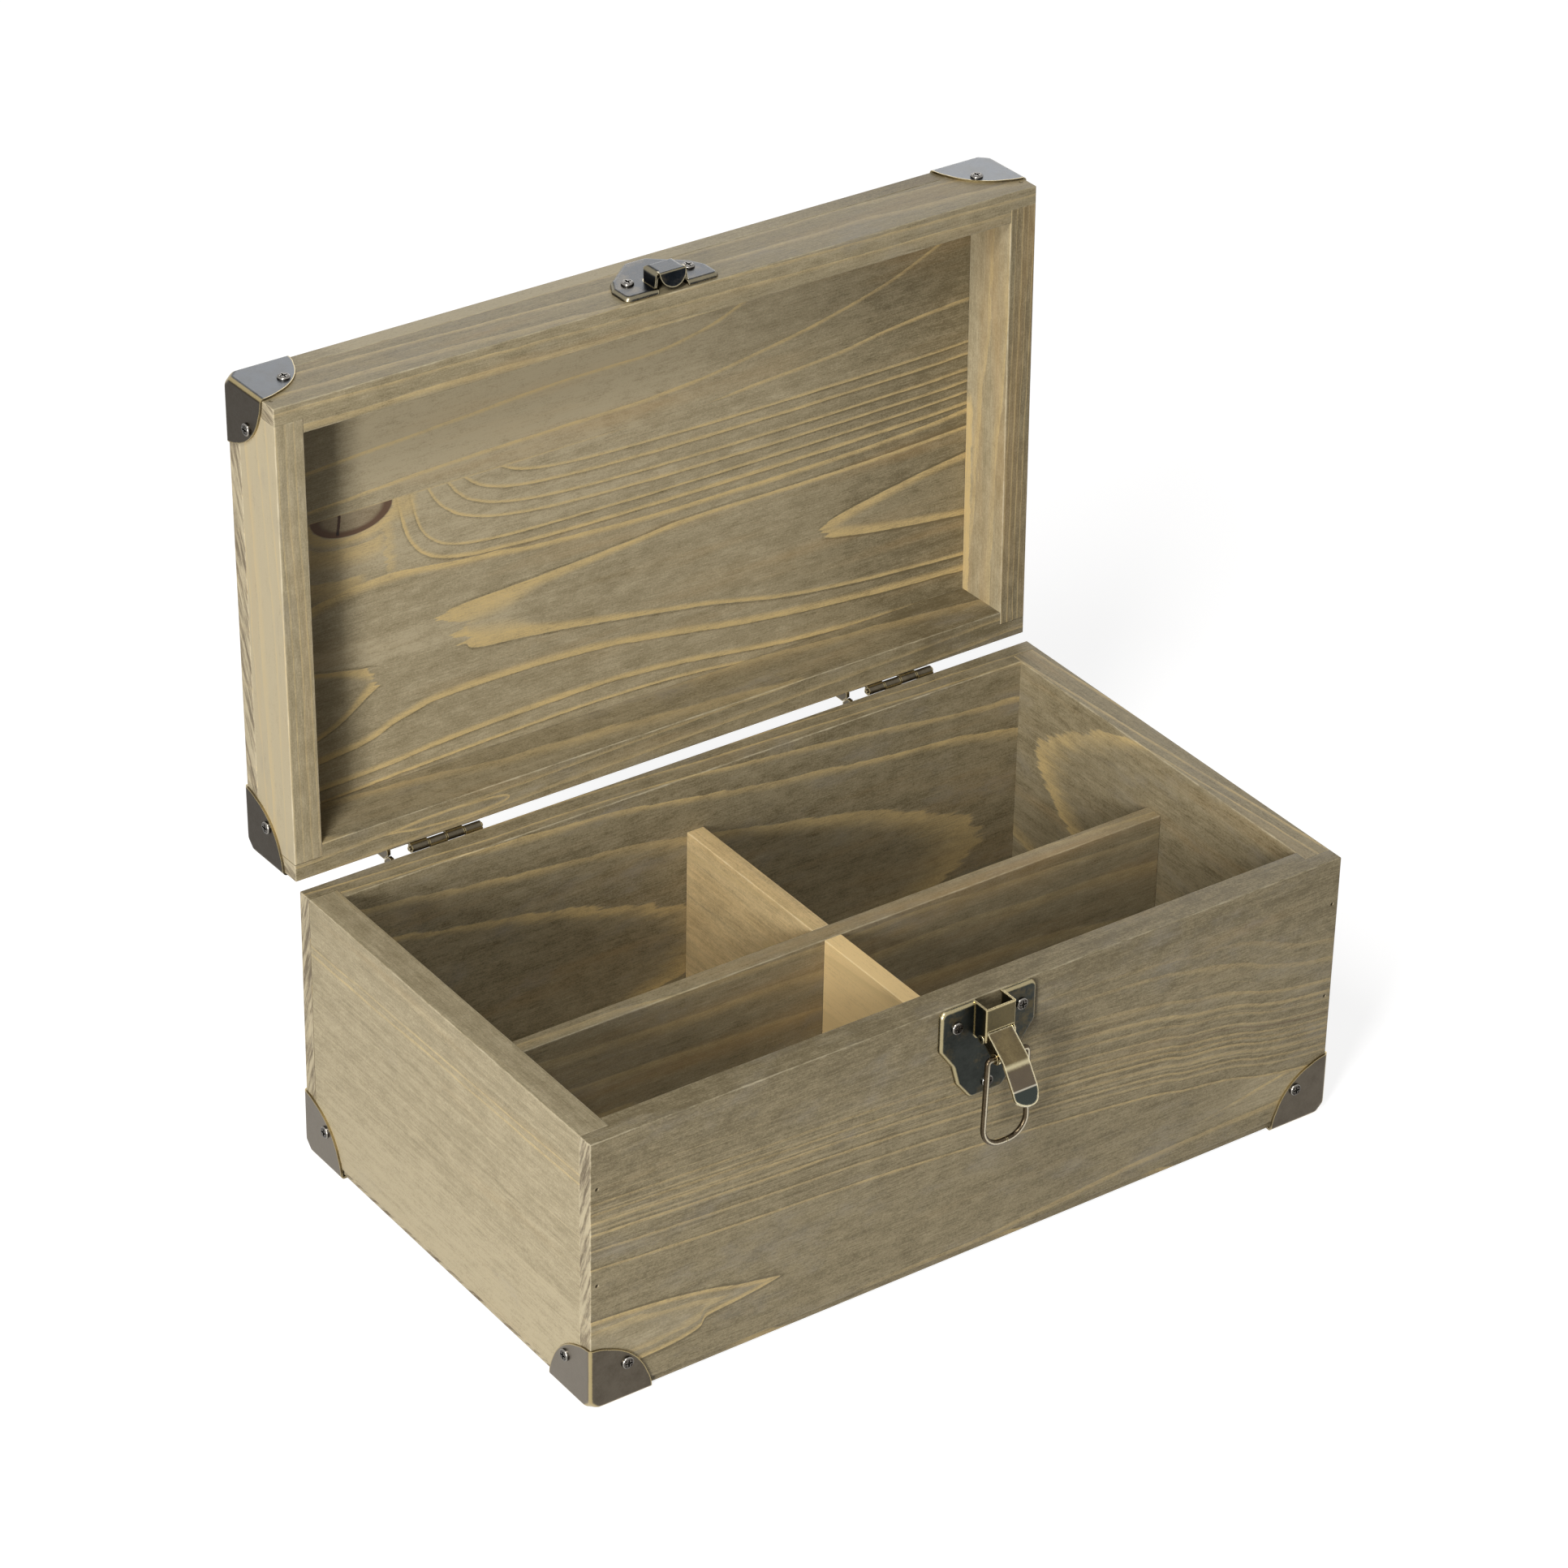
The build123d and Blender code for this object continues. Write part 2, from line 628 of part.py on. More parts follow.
# ---- hinges: two leaves, a pin, and stop flanges whose bevelled ends meet when open ----
def hinge_leaf(x, direction):
    """Leaf with every second knuckle; direction is -1 below the pin and 1 above it."""
    barrel_start = x - hinge_length / 2
    stop_start = barrel_start - hinge_stop_distance
    knuckle_length = hinge_length / hinge_knuckles
    root = hinge_z + direction * (hinge_knuckle_radius + hinge_knuckle_gap)
    tip = hinge_z + direction * hinge_leaf_height
    with BuildPart() as leaf:
        block(
            (stop_start, half_depth, min(root, tip)),
            (x + hinge_length / 2, leaf_face_y, max(root, tip)),
        )
        for i in range(0 if direction > 0 else 1, hinge_knuckles, 2):
            start = barrel_start + i * knuckle_length + hinge_knuckle_gap / 2
            end = start + knuckle_length - hinge_knuckle_gap
            block((start, half_depth, min(root, hinge_z)), (end, leaf_face_y, max(root, hinge_z)))
            with BuildSketch(Plane(origin=(start, pin_y, hinge_z), z_dir=(1, 0, 0))):
                Circle(hinge_knuckle_radius)
            extrude(amount=end - start)
        half_open = radians(lid_open_angle / 2)
        stop_end = hinge_stop_gap / 2 / cos(half_open)
        with BuildSketch(Plane.YZ.offset(stop_start)):
            with BuildLine():
                Polyline(
                    (half_depth, tip),
                    (pin_y, tip),
                    (pin_y + hinge_stop_reach, tip - direction * hinge_stop_reach),
                    (
                        pin_y + hinge_stop_reach,
                        hinge_z + direction * (stop_end + hinge_stop_reach * tan(half_open)),
                    ),
                    (pin_y, hinge_z + direction * stop_end),
                    (half_depth, hinge_z + direction * stop_end),
                    close=True,
                )
            make_face()
        extrude(amount=hinge_stop_thickness)
        with BuildSketch(Plane(origin=(barrel_start, pin_y, hinge_z), z_dir=(1, 0, 0))):
            Circle(hinge_pin_radius + hinge_running_clearance)
        extrude(amount=hinge_length, mode=Mode.SUBTRACT)
        bore(hinge_seats(x, direction), sheet_hole_radius, hinge_leaf_thickness)
    return leaf.part


for name, x in hinges.items():
    save(hinge_leaf(x, -1), f"{name}_hinge_box_leaf")
    save_on_lid(hinge_leaf(x, 1), f"{name}_hinge_lid_leaf")
    with BuildPart() as hinge_pin:
        with BuildSketch(Plane(origin=(x, pin_y, hinge_z), z_dir=(1, 0, 0))):
            Circle(hinge_pin_radius)
        extrude(amount=hinge_length / 2 + hinge_pin_overhang, both=True)
    save(hinge_pin.part, f"{name}_hinge_pin")

with BuildPart() as hinge_box_screws:
    screws(hinge_box_seats)
save(hinge_box_screws.part, "hinge_box_screws")

with BuildPart() as hinge_lid_screws:
    screws(hinge_lid_seats)
save_on_lid(hinge_lid_screws.part, "hinge_lid_screws")

# ---- lid frame, modelled shut ----
lid_rail_inner = {-1: lid_front_y + lid_rail_thickness, 1: half_depth - lid_rail_thickness}
lid_rail_outer = {-1: lid_front_y, 1: half_depth}
lid_lap = {-1: lid_front_y + lid_rabbet_lip, 1: half_depth - lid_rabbet_lip}
lid_inner_x = half_length - lid_stile_thickness
for label, side_y, seats, brad_seats in (
    ("lid_front_rail", -1, catch_seats, lid_front_brad_seats),
    ("lid_rear_rail", 1, hinge_lid_seats, lid_rear_brad_seats),
):
    low_y, high_y = sorted((lid_rail_outer[side_y], lid_rail_inner[side_y]))
    with BuildPart() as rail:
        board((-half_length, low_y, lid_rim_z), (half_length, high_y, lid_frame_top_z))
        for s in sides:
            ends = sorted((s * lid_inner_x, s * (half_length + cut_margin)))
            cheek = sorted((lid_lap[side_y], lid_rail_inner[side_y] - side_y * cut_margin))
            block(
                (ends[0], cheek[0], lid_rim_z - cut_margin),
                (ends[1], cheek[1], lid_frame_top_z + cut_margin),
                Mode.SUBTRACT,
            )
            bore([lid_corner_seats[s, side_y][0]], pilot_radius, screw_length)
        bore(seats, pilot_radius, screw_length)
        bore(brad_seats, brad_hole_radius, brad_sink + brad_length)
        bore(lid_panel_brad_seats, brad_hole_radius, brad_sink + lid_panel_brad_length)
    save_on_lid(rail.part, label)

for label, side_x in (("lid_left_stile", -1), ("lid_right_stile", 1)):
    across = sorted((side_x * lid_inner_x, side_x * half_length))
    with BuildPart() as stile:
        board((across[0], lid_lap[-1], lid_rim_z), (across[1], lid_lap[1], lid_frame_top_z))
        for s in sides:
            bore([lid_corner_seats[side_x, s][1]], pilot_radius, screw_length)
        bore(lid_front_brad_seats + lid_rear_brad_seats, brad_hole_radius, brad_sink + brad_length)
    save_on_lid(stile.part, label)

with BuildPart() as lid_top_panel:
    panel((-half_length, lid_front_y, lid_frame_top_z), (half_length, half_depth, lid_top_z))
    bore(lid_panel_brad_seats, brad_hole_radius, brad_sink + lid_panel_brad_length)
    for pair in lid_corner_seats.values():
        bore(pair, pilot_radius, screw_length)
save_on_lid(lid_top_panel.part, "lid_top_panel")

with BuildPart() as lid_bracket_screws:
    screws([seat for pair in lid_corner_seats.values() for seat in pair])
save_on_lid(lid_bracket_screws.part, "lid_bracket_screws")

with BuildPart() as lid_frame_brads:
    brads(lid_front_brad_seats + lid_rear_brad_seats, brad_length)
save_on_lid(lid_frame_brads.part, "lid_frame_brads")

with BuildPart() as lid_panel_brads:
    brads(lid_panel_brad_seats, lid_panel_brad_length)
save_on_lid(lid_panel_brads.part, "lid_panel_brads")

# ---- catch: dished plate with a hood, and a tongue bent down from the hood's mouth ----
catch_plane = Plane(origin=(latch_x, lid_front_y, lid_rim_z), x_dir=(1, 0, 0), z_dir=(0, -1, 0))
catch_side = Plane(origin=(latch_x, lid_front_y, lid_rim_z), x_dir=(0, 0, 1), z_dir=(1, 0, 0))
catch_above = Plane(origin=(latch_x, lid_front_y, lid_rim_z), x_dir=(-1, 0, 0), z_dir=(0, 0, 1))
mouth = catch_base_gap + hood_mouth
hood_end = mouth + hood_crest + hood_fall


def hood_volume(inset, front):
    """Rounded scoop over the plate: where its side, front and plan outlines all hold."""
    rise = hood_rise - inset
    with BuildPart(mode=Mode.PRIVATE) as hood:
        with BuildSketch(catch_side):
            with BuildLine():
                back = EllipticalCenterArc((mouth + hood_crest, 0), hood_fall - inset, rise, arc_size=90)
                Polyline(back @ 1, (front, rise), (front, 0), back @ 0)
            make_face()
        extrude(amount=2 * hood_base_half_width, both=True)
        with BuildSketch(catch_above) as mouth_face:
            with BuildLine():
                Polyline(
                    (inset - hood_base_half_width, 0),
                    (inset - hood_top_half_width, rise),
                    (hood_top_half_width - inset, rise),
                    (hood_base_half_width - inset, 0),
                    close=True,
                )
            make_face()
            fillet(mouth_face.vertices().group_by(Axis.Y)[-1], radius=hood_corner_round)
        extrude(amount=2 * hood_end, both=True, mode=Mode.INTERSECT)
        with BuildSketch(catch_plane) as plan:
            with Locations((0, (front + hood_end) / 2)):
                Rectangle(2 * (hood_base_half_width - inset), hood_end - front)
            fillet(plan.vertices().group_by(Axis.Y)[-1], radius=hood_plan_round)
        extrude(amount=2 * hood_rise, both=True, mode=Mode.INTERSECT)
    return hood.part


catch_outline = mirrored(
    [
        (catch_top_half_width, catch_base_gap + catch_length),
        (catch_knee_half_width, catch_base_gap + catch_knee),
        (catch_half_width, catch_base_gap + catch_shoulder),
        (catch_half_width, catch_base_gap),
    ]
)
with BuildPart(mode=Mode.PRIVATE) as tongue:
    with BuildSketch(catch_side):
        with BuildLine():
            FilletPolyline(
                (mouth + sheet_thickness, hood_rise),
                (mouth - tongue_reach, hood_rise),
                tongue_hollow,
                (tongue_tip_gap, tongue_tip_rise),
                radius=tongue_bend_round,
            )
            offset(amount=sheet_thickness, side=Side.LEFT)
        make_face()
    extrude(amount=tongue_half_width, both=True)
    with BuildSketch(catch_above):
        with Locations((0, tongue_tip_rise + tongue_half_width)):
            Circle(tongue_half_width)
            Rectangle(2 * tongue_half_width, hood_rise, align=(Align.CENTER, Align.MIN))
    extrude(amount=2 * hood_end, both=True, mode=Mode.INTERSECT)

with BuildPart() as lid_catch:
    dished_plate(catch_plane, catch_outline, catch_corner_round)
    add(hood_volume(0, mouth))
    add(hood_volume(sheet_thickness, -cut_margin), mode=Mode.SUBTRACT)
    add(tongue.part)
    bore(catch_seats, sheet_hole_radius, latch_plate_rise)
save_on_lid(lid_catch.part, "lid_catch")

with BuildPart() as lid_catch_screws:
    screws(catch_seats)
save_on_lid(lid_catch_screws.part, "lid_catch_screws")
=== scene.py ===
import json
import math

import bpy
from mathutils import Matrix, Vector


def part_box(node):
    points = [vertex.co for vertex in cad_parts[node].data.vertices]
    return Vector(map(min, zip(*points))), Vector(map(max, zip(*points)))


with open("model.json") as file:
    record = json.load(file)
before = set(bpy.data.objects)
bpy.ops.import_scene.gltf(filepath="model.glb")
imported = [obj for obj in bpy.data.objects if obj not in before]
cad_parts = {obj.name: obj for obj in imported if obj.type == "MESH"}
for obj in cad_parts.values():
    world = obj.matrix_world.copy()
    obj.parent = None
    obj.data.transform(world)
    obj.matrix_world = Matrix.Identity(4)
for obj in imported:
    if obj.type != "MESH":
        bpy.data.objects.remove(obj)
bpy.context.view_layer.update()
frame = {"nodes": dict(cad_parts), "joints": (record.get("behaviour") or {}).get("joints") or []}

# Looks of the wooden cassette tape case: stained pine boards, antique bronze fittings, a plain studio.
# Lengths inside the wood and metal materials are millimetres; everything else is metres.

# ---------------------------------------------------------------- camera and studio
CAMERA_PLACE = (-0.9740, -1.3301, 1.1563)
CAMERA_TURN = (58.558, -0.994, -35.075)  # degrees
CAMERA_LENS = 124.93  # mm
SENSOR_WIDTH = 36.0  # mm
CLIP_START, CLIP_END = 0.05, 100.0

FLOOR_RADIUS = 8.0
FLOOR_SIDES = 96
FLOOR_COLOUR = (158, 157, 156)
FLOOR_GLOW = 0.84  # added where the camera or a reflection sees the floor; its shadow shows through
WORLD_LIGHT = 0.12

LAMP_AIM = Vector((0.0, 0.0, 0.12))  # middle of the case
LAMPS = {  # direction to the lamp, distance, width and height, and the light on a surface that faces it
    "key": ((-0.83, -0.55, 0.17), 2.2, (0.42, 0.90), 0.90),
    "high": ((-0.515, -0.345, 0.78), 2.2, (0.42, 0.90), 0.65),
    "rear": ((0.55, 0.80, 0.38), 2.6, (1.20, 1.20), 0.20),
}

MM = 0.001


def linear(colour):
    """Linear colour from sRGB levels of 0 to 255."""
    channels = []
    for level in colour:
        share = level / 255
        channels.append(share / 12.92 if share <= 0.04045 else ((share + 0.055) / 1.055) ** 2.4)
    return (*channels, 1.0)


def add_camera():
    data = bpy.data.cameras.new("camera")
    data.sensor_width = SENSOR_WIDTH
    data.lens = CAMERA_LENS
    data.clip_start, data.clip_end = CLIP_START, CLIP_END
    camera = bpy.data.objects.new("camera", data)
    camera.location = CAMERA_PLACE
    camera.rotation_euler = [math.radians(angle) for angle in CAMERA_TURN]
    bpy.context.scene.collection.objects.link(camera)
    bpy.context.scene.camera = camera


def add_lamp(name, direction, distance, size, light):
    """Soft box lamp, at the strength that gives a facing surface this share of its own colour."""
    data = bpy.data.lights.new(name, "AREA")
    data.shape = "RECTANGLE"
    data.size, data.size_y = size
    data.energy = light * math.pi**2 * distance**2
    lamp = bpy.data.objects.new(name, data)
    aim = Vector(direction).normalized()
    lamp.location = aim * distance + LAMP_AIM
    lamp.rotation_euler = aim.to_track_quat("Z", "Y").to_euler()
    bpy.context.scene.collection.objects.link(lamp)


def seen_strength(nodes, links, lit, seen):
    """Strength lit for the light on the object, and seen where the background itself is looked at."""
    path = nodes.new("ShaderNodeLightPath")
    seen_rays = path.outputs["Is Camera Ray"]
    for ray in ("Is Glossy Ray", "Is Transmission Ray"):
        either = nodes.new("ShaderNodeMath")
        either.operation = "MAXIMUM"
        links.new(seen_rays, either.inputs[0])
        links.new(path.outputs[ray], either.inputs[1])
        seen_rays = either.outputs[0]
    strength = nodes.new("ShaderNodeMapRange")
    strength.inputs["To Min"].default_value = lit
    strength.inputs["To Max"].default_value = seen
    links.new(seen_rays, strength.inputs["Value"])
    return strength.outputs[0]


def add_world():
    world = bpy.data.worlds.new("world")
    bpy.context.scene.world = world
    world.use_nodes = True
    nodes, links = world.node_tree.nodes, world.node_tree.links
    nodes.clear()
    background = nodes.new("ShaderNodeBackground")
    background.inputs["Color"].default_value = (1.0, 1.0, 1.0, 1.0)
    links.new(seen_strength(nodes, links, WORLD_LIGHT, 1.0), background.inputs["Strength"])
    output = nodes.new("ShaderNodeOutputWorld")
    links.new(background.outputs[0], output.inputs["Surface"])


def add_floor():
    bpy.ops.mesh.primitive_circle_add(vertices=FLOOR_SIDES, radius=FLOOR_RADIUS, fill_type="NGON")
    floor = bpy.context.object
    floor.name = "floor"
    material = bpy.data.materials.new("pale_floor")
    material.use_nodes = True
    nodes, links = material.node_tree.nodes, material.node_tree.links
    nodes.clear()
    matt = nodes.new("ShaderNodeBsdfDiffuse")
    matt.inputs["Color"].default_value = linear(FLOOR_COLOUR)
    glow = nodes.new("ShaderNodeEmission")
    links.new(seen_strength(nodes, links, 0.0, FLOOR_GLOW), glow.inputs["Strength"])
    total = nodes.new("ShaderNodeAddShader")
    links.new(matt.outputs[0], total.inputs[0])
    links.new(glow.outputs[0], total.inputs[1])
    output = nodes.new("ShaderNodeOutputMaterial")
    links.new(total.outputs[0], output.inputs["Surface"])
    floor.data.materials.append(material)


# ---------------------------------------------------------------- arithmetic on surface patterns
class Field:
    """A number that varies over a surface. Arithmetic on it adds Math nodes to its material."""

    def __init__(self, tree, socket):
        self.tree = tree
        self.socket = socket

    def math(self, operation, *others, clamp=False):
        node = self.tree.nodes.new("ShaderNodeMath")
        node.operation = operation
        node.use_clamp = clamp
        for socket, value in zip(node.inputs, (self, *others)):
            feed(self.tree, socket, value)
        return Field(self.tree, node.outputs[0])

    def __add__(self, other):
        return self.math("ADD", other)

    def __sub__(self, other):
        return self.math("SUBTRACT", other)

    def __mul__(self, other):
        return self.math("MULTIPLY", other)

    def __truediv__(self, other):
        return self.math("DIVIDE", other)

    def __neg__(self):
        return self.math("MULTIPLY", -1.0)

    __radd__ = __add__
    __rmul__ = __mul__

    def __rsub__(self, other):
        return (-self) + other

    def size(self):
        return self.math("ABSOLUTE")

    def root(self):
        return self.math("MAXIMUM", 0.0).math("SQRT")

    def fraction(self):
        return self.math("FRACT")

    def lower(self, other):
        return self.math("MINIMUM", other)

    def higher(self, other):
        return self.math("MAXIMUM", other)

    def ramp(self, low, high):
        """Smooth step from 0 at low to 1 at high; low may be the larger one."""
        node = self.tree.nodes.new("ShaderNodeMapRange")
        node.interpolation_type = "SMOOTHSTEP"
        for name, value in (("Value", self), ("From Min", low), ("From Max", high)):
            feed(self.tree, node.inputs[name], value)
        return Field(self.tree, node.outputs[0])

    def through(self, points):
        """Smooth curve through (input, output) points, level beyond the first and the last."""
        xs, ys = [p[0] for p in points], [p[1] for p in points]
        low_x, span_x = xs[0], xs[-1] - xs[0]
        low_y, span_y = min(ys), max(max(ys) - min(ys), 1e-6)
        node = self.tree.nodes.new("ShaderNodeFloatCurve")
        curve = node.mapping.curves[0]
        curve.points[0].location = (0.0, (ys[0] - low_y) / span_y)
        curve.points[1].location = (1.0, (ys[-1] - low_y) / span_y)
        for x, y in points[1:-1]:
            curve.points.new((x - low_x) / span_x, (y - low_y) / span_y)
        node.mapping.update()
        share = (self - low_x).math("DIVIDE", span_x, clamp=True)
        feed(self.tree, node.inputs["Value"], share)
        return Field(self.tree, node.outputs[0]) * span_y + low_y


def feed(tree, socket, value):
    """Link a pattern or a colour to a socket, or set a plain number."""
    if isinstance(value, Field):
        tree.links.new(value.socket, socket)
    elif isinstance(value, bpy.types.NodeSocket):
        tree.links.new(value, socket)
    else:
        socket.default_value = value


def noise(x, y, z, detail=2.0, roughness=0.5):
    """Soft random pattern around 0, from about -0.5 to 0.5."""
    tree = x.tree
    joined = tree.nodes.new("ShaderNodeCombineXYZ")
    for socket, value in zip(joined.inputs, (x, y, z)):
        feed(tree, socket, value)
    node = tree.nodes.new("ShaderNodeTexNoise")
    node.inputs["Scale"].default_value = 1.0
    node.inputs["Detail"].default_value = detail
    node.inputs["Roughness"].default_value = roughness
    tree.links.new(joined.outputs[0], node.inputs["Vector"])
    return Field(tree, node.outputs["Fac"]) - 0.5


def paint(tree, factor, under, over):
    """One colour laid over another, as much as factor says from 0 to 1."""
    node = tree.nodes.new("ShaderNodeMix")
    node.data_type = "RGBA"
    node.clamp_factor = True
    feed(tree, node.inputs[0], factor)
    feed(tree, node.inputs[6], under)
    feed(tree, node.inputs[7], over)
    return node.outputs[2]


def new_material(name):
    """New material, with its node tree and its Principled shader."""
    material = bpy.data.materials.new(name)
    material.use_nodes = True
    tree = material.node_tree
    shader = next(node for node in tree.nodes if node.type == "BSDF_PRINCIPLED")
    return material, tree, shader


def position(tree, on_lid):
    """Where a surface point rests, in mm, and which way it faces; on the lid, both as if it were shut."""
    surface = tree.nodes.new("ShaderNodeTexCoord")
    place, normal = surface.outputs["Object"], surface.outputs["Normal"]
    if on_lid:
        place, normal = swung(tree, place, shut_shift), swung(tree, normal)
    return [axis / MM for axis in axes_of(tree, place)], axes_of(tree, normal)


def axes_of(tree, vector):
    """X, Y and Z of a vector."""
    split = tree.nodes.new("ShaderNodeSeparateXYZ")
    tree.links.new(vector, split.inputs[0])
    return [Field(tree, socket) for socket in split.outputs]


hinge = next(joint for joint in frame["joints"] if joint["name"] == "lid_hinge")
hinge_place = Vector(hinge["pos_m"])
lid_angle = math.radians(hinge["range_deg"][1])
shut_turn = Matrix.Rotation(lid_angle, 3, "X")
shut_shift = hinge_place - shut_turn @ hinge_place


def swung(tree, vector, shift=(0.0, 0.0, 0.0)):
    """A direction of the open lid, or with a shift a point, turned back to how it lies on the shut lid."""
    node = tree.nodes.new("ShaderNodeMapping")
    node.inputs["Rotation"].default_value = (lid_angle, 0.0, 0.0)
    node.inputs["Location"].default_value = shift
    tree.links.new(vector, node.inputs["Vector"])
    return node.outputs[0]


def shut_box(node_name):
    """Lowest and highest corner of a lid node on the shut lid, in mm."""
    points = [shut_turn @ v.co + shut_shift for v in frame["nodes"][node_name].data.vertices]
    low = [min(p[i] for p in points) / MM for i in range(3)]
    high = [max(p[i] for p in points) / MM for i in range(3)]
    return low, high


def node_box(node_name):
    """Lowest and highest corner of a node at rest, in mm."""
    low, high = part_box(node_name)
    return [value / MM for value in low], [value / MM for value in high]


# ---------------------------------------------------------------- stained pine
STAIN_DARK = (100, 89, 64)
STAIN_MID = (139, 127, 99)
STAIN_LIGHT = (170, 157, 128)
LATE_GOLD = (194, 169, 117)
BARE_PINE = (232, 202, 146)
AMBER = (178, 142, 88)
HAZE = (138, 132, 120)
WORN_CREAM = (205, 194, 166)
KNOT_BROWN = (82, 58, 44)
CRACK_BLACK = (20, 14, 10)
END_DARK = (92, 79, 60)
END_LIGHT = (180, 167, 138)


def stained_pine(
    name, low, high, on_lid, grain, pattern, tone=0.5, warmth=0.2, haze=0.4, seed=0.0, bare=0.0
):
    """Stained pine for one board that lies between two corners.

    grain says which axis runs along, across and through the board. pattern(u, v, d) draws its growth
    rings: pale latewood from 0 to 1, broad tone around 0, and a knot's brown from 0 to 1, or None.
    A knot above 1 is a black crack. bare is how much of the board is left unstained.
    """
    material, tree, shader = new_material(name)
    places, facings = position(tree, on_lid)
    along, across, through = ("xyz".index(axis) for axis in grain)
    u, v, d = places[along], places[across], places[through]

    late, broad, knot = pattern(u, v, d)
    mottle = noise(u * 0.09 + seed, v * 0.16, d * 0.16, detail=7.0, roughness=0.74)
    streak = noise(u * 0.005 + seed, v * 0.42, d * 0.42, detail=5.0, roughness=0.70)
    fibre = noise(u * 0.12, v * 2.2 + seed, d * 2.2, detail=3.0, roughness=0.75)
    grit = noise(u * 1.2, v * 1.6, d * 1.6 + seed, detail=3.0, roughness=0.85)

    level = mottle * 1.00 + streak * 0.55 + fibre * 0.95 + grit * 1.15 + broad + tone
    colour = paint(tree, level.ramp(0.0, 0.55), linear(STAIN_DARK), linear(STAIN_MID))
    colour = paint(tree, level.ramp(0.45, 1.05), colour, linear(STAIN_LIGHT))
    warm = (noise(u * 0.010 + seed, v * 0.10, d * 0.10, detail=3.0) + (warmth - 0.2)).ramp(0.0, 0.5)
    colour = paint(tree, warm * 0.40, colour, linear(AMBER))
    fog = noise(u * 0.028, v * 0.06 - seed, d * 0.06, detail=5.0, roughness=0.65) + (haze - 0.4)
    fog = fog.ramp(0.0, 0.3)
    colour = paint(tree, fog * 0.55, colour, linear(HAZE))
    if bare:
        colour = paint(tree, bare + (fibre + grit + mottle + streak) * 0.7, colour, linear(BARE_PINE))
    line = (late * (0.80 + fibre * 1.6 + grit * 1.2 + mottle * 0.8)).math("MULTIPLY", 1.0, clamp=True)
    colour = paint(tree, line, colour, linear(LATE_GOLD))
    if knot is not None:
        colour = paint(tree, knot, colour, linear(KNOT_BROWN))
        colour = paint(tree, knot - 1.0, colour, linear(CRACK_BLACK))

    ends = facings[along].size().ramp(0.6, 0.85)
    leaning = v * 0.35 + d
    rings = noise(leaning * 0.55 + seed, (v - d * 0.35) * 0.05, u * 0.02, detail=4.0, roughness=0.7)
    ringed = (rings * 2.6 + grit * 0.5).ramp(-0.3, 0.4)
    end_colour = paint(tree, ringed, linear(END_LIGHT), linear(END_DARK))
    colour = paint(tree, ends * 0.85, colour, end_colour)

    x, y, z = ((value - a).lower(b - value).higher(0.0) for value, a, b in zip(places, low, high))
    edge = x.higher(y).lower(x.lower(y).higher(z))
    ragged = noise(u * 0.10, v * 0.4, d * 0.4, detail=5.0, roughness=0.75)
    rub = (ragged * 2.4 + 0.55 - edge).ramp(0.0, 0.8)
    colour = paint(tree, rub * 0.38, colour, linear(WORN_CREAM))
    fleck = noise(u * 0.22, v * 0.30 + seed, d * 0.30, detail=6.0, roughness=0.85).ramp(0.17, 0.23)
    patchy = noise(u * 0.02 - seed, v * 0.03, d * 0.03).ramp(0.0, 0.2) + edge.ramp(3.0, 0.5) * 0.6
    colour = paint(tree, fleck * patchy * 0.8, colour, linear(WORN_CREAM))

    tree.links.new(colour, shader.inputs["Base Color"])
    feed(tree, shader.inputs["Roughness"], 0.60 + fibre * 0.2 + mottle * 0.2 - late * 0.10)
    shader.inputs["Specular IOR Level"].default_value = 0.35
    relief = fibre * 0.8 + grit * 0.5 + late * 0.35 - rub * 0.5 - ends * rings * 0.8
    bump = tree.nodes.new("ShaderNodeBump")
    bump.inputs["Strength"].default_value = 0.6
    bump.inputs["Distance"].default_value = 0.12 * MM
    feed(tree, bump.inputs["Height"], relief)
    tree.links.new(bump.outputs[0], shader.inputs["Normal"])
    return material


def band(value, start, width):
    """Latewood band: sharp where the value passes start, fading out by start + width."""
    rise = value.ramp(start - 0.10 * width, start)
    fall = value.ramp(start + width, start + 0.25 * width)
    return rise * fall


def seam_of(value):
    """Dark early wood along the sharp side of a latewood line, where the value passes 0."""
    return value.ramp(-1.2, -0.2) * value.ramp(0.15, -0.1)


def combined(first, *others):
    """The strongest of several patterns at each point."""
    total = first
    for other in others:
        total = total.higher(other)
    return total


def sawn_rings(centre, depth, taper, spacing, late_share=0.3, wobble=1.2, seed=0.0, strength=1.0):
    """Pattern of rings round a pith line beside the board: plain-sawn arches where they run out."""

    def pattern(u, v, d):
        bend = noise(u * 0.008 + seed, v * 0.02, d * 0.02) * 14.0
        ripple = noise(u * 0.05, v * 0.35 + seed, d * 0.35, detail=3.0, roughness=0.6) * wobble
        s = v - centre + bend
        t = d + depth
        radius = (s * s + t * t).root() + u * taper + ripple
        count = radius / spacing
        uneven = noise(count * 0.55 + seed, 0.0, 0.0) * 1.5
        share = (count + uneven).fraction()
        late = share.ramp(1.0 - late_share, 0.97) * share.ramp(1.0, 0.965)
        fade = 0.75 + noise(u * 0.02, v * 0.05 + seed, d * 0.05) * 1.3
        return late * fade * strength, share * 0.10 - 0.05, None

    return pattern


def arch(u, v, upper, lower, rim):
    """Latewood ring that closes on itself: pale along its outline, and how far in from it a point is."""
    inside = (u.through(upper) - v).lower(v - u.through(lower))
    return inside.ramp(0.0, 0.3) * (inside / rim).ramp(1.0, 0.3), inside


def straight_lines(level, lines):
    """Latewood lines along a board, each given by its place, width and strength."""
    return combined(*(band(place - level, 0.0, width) * strength for place, width, strength in lines))


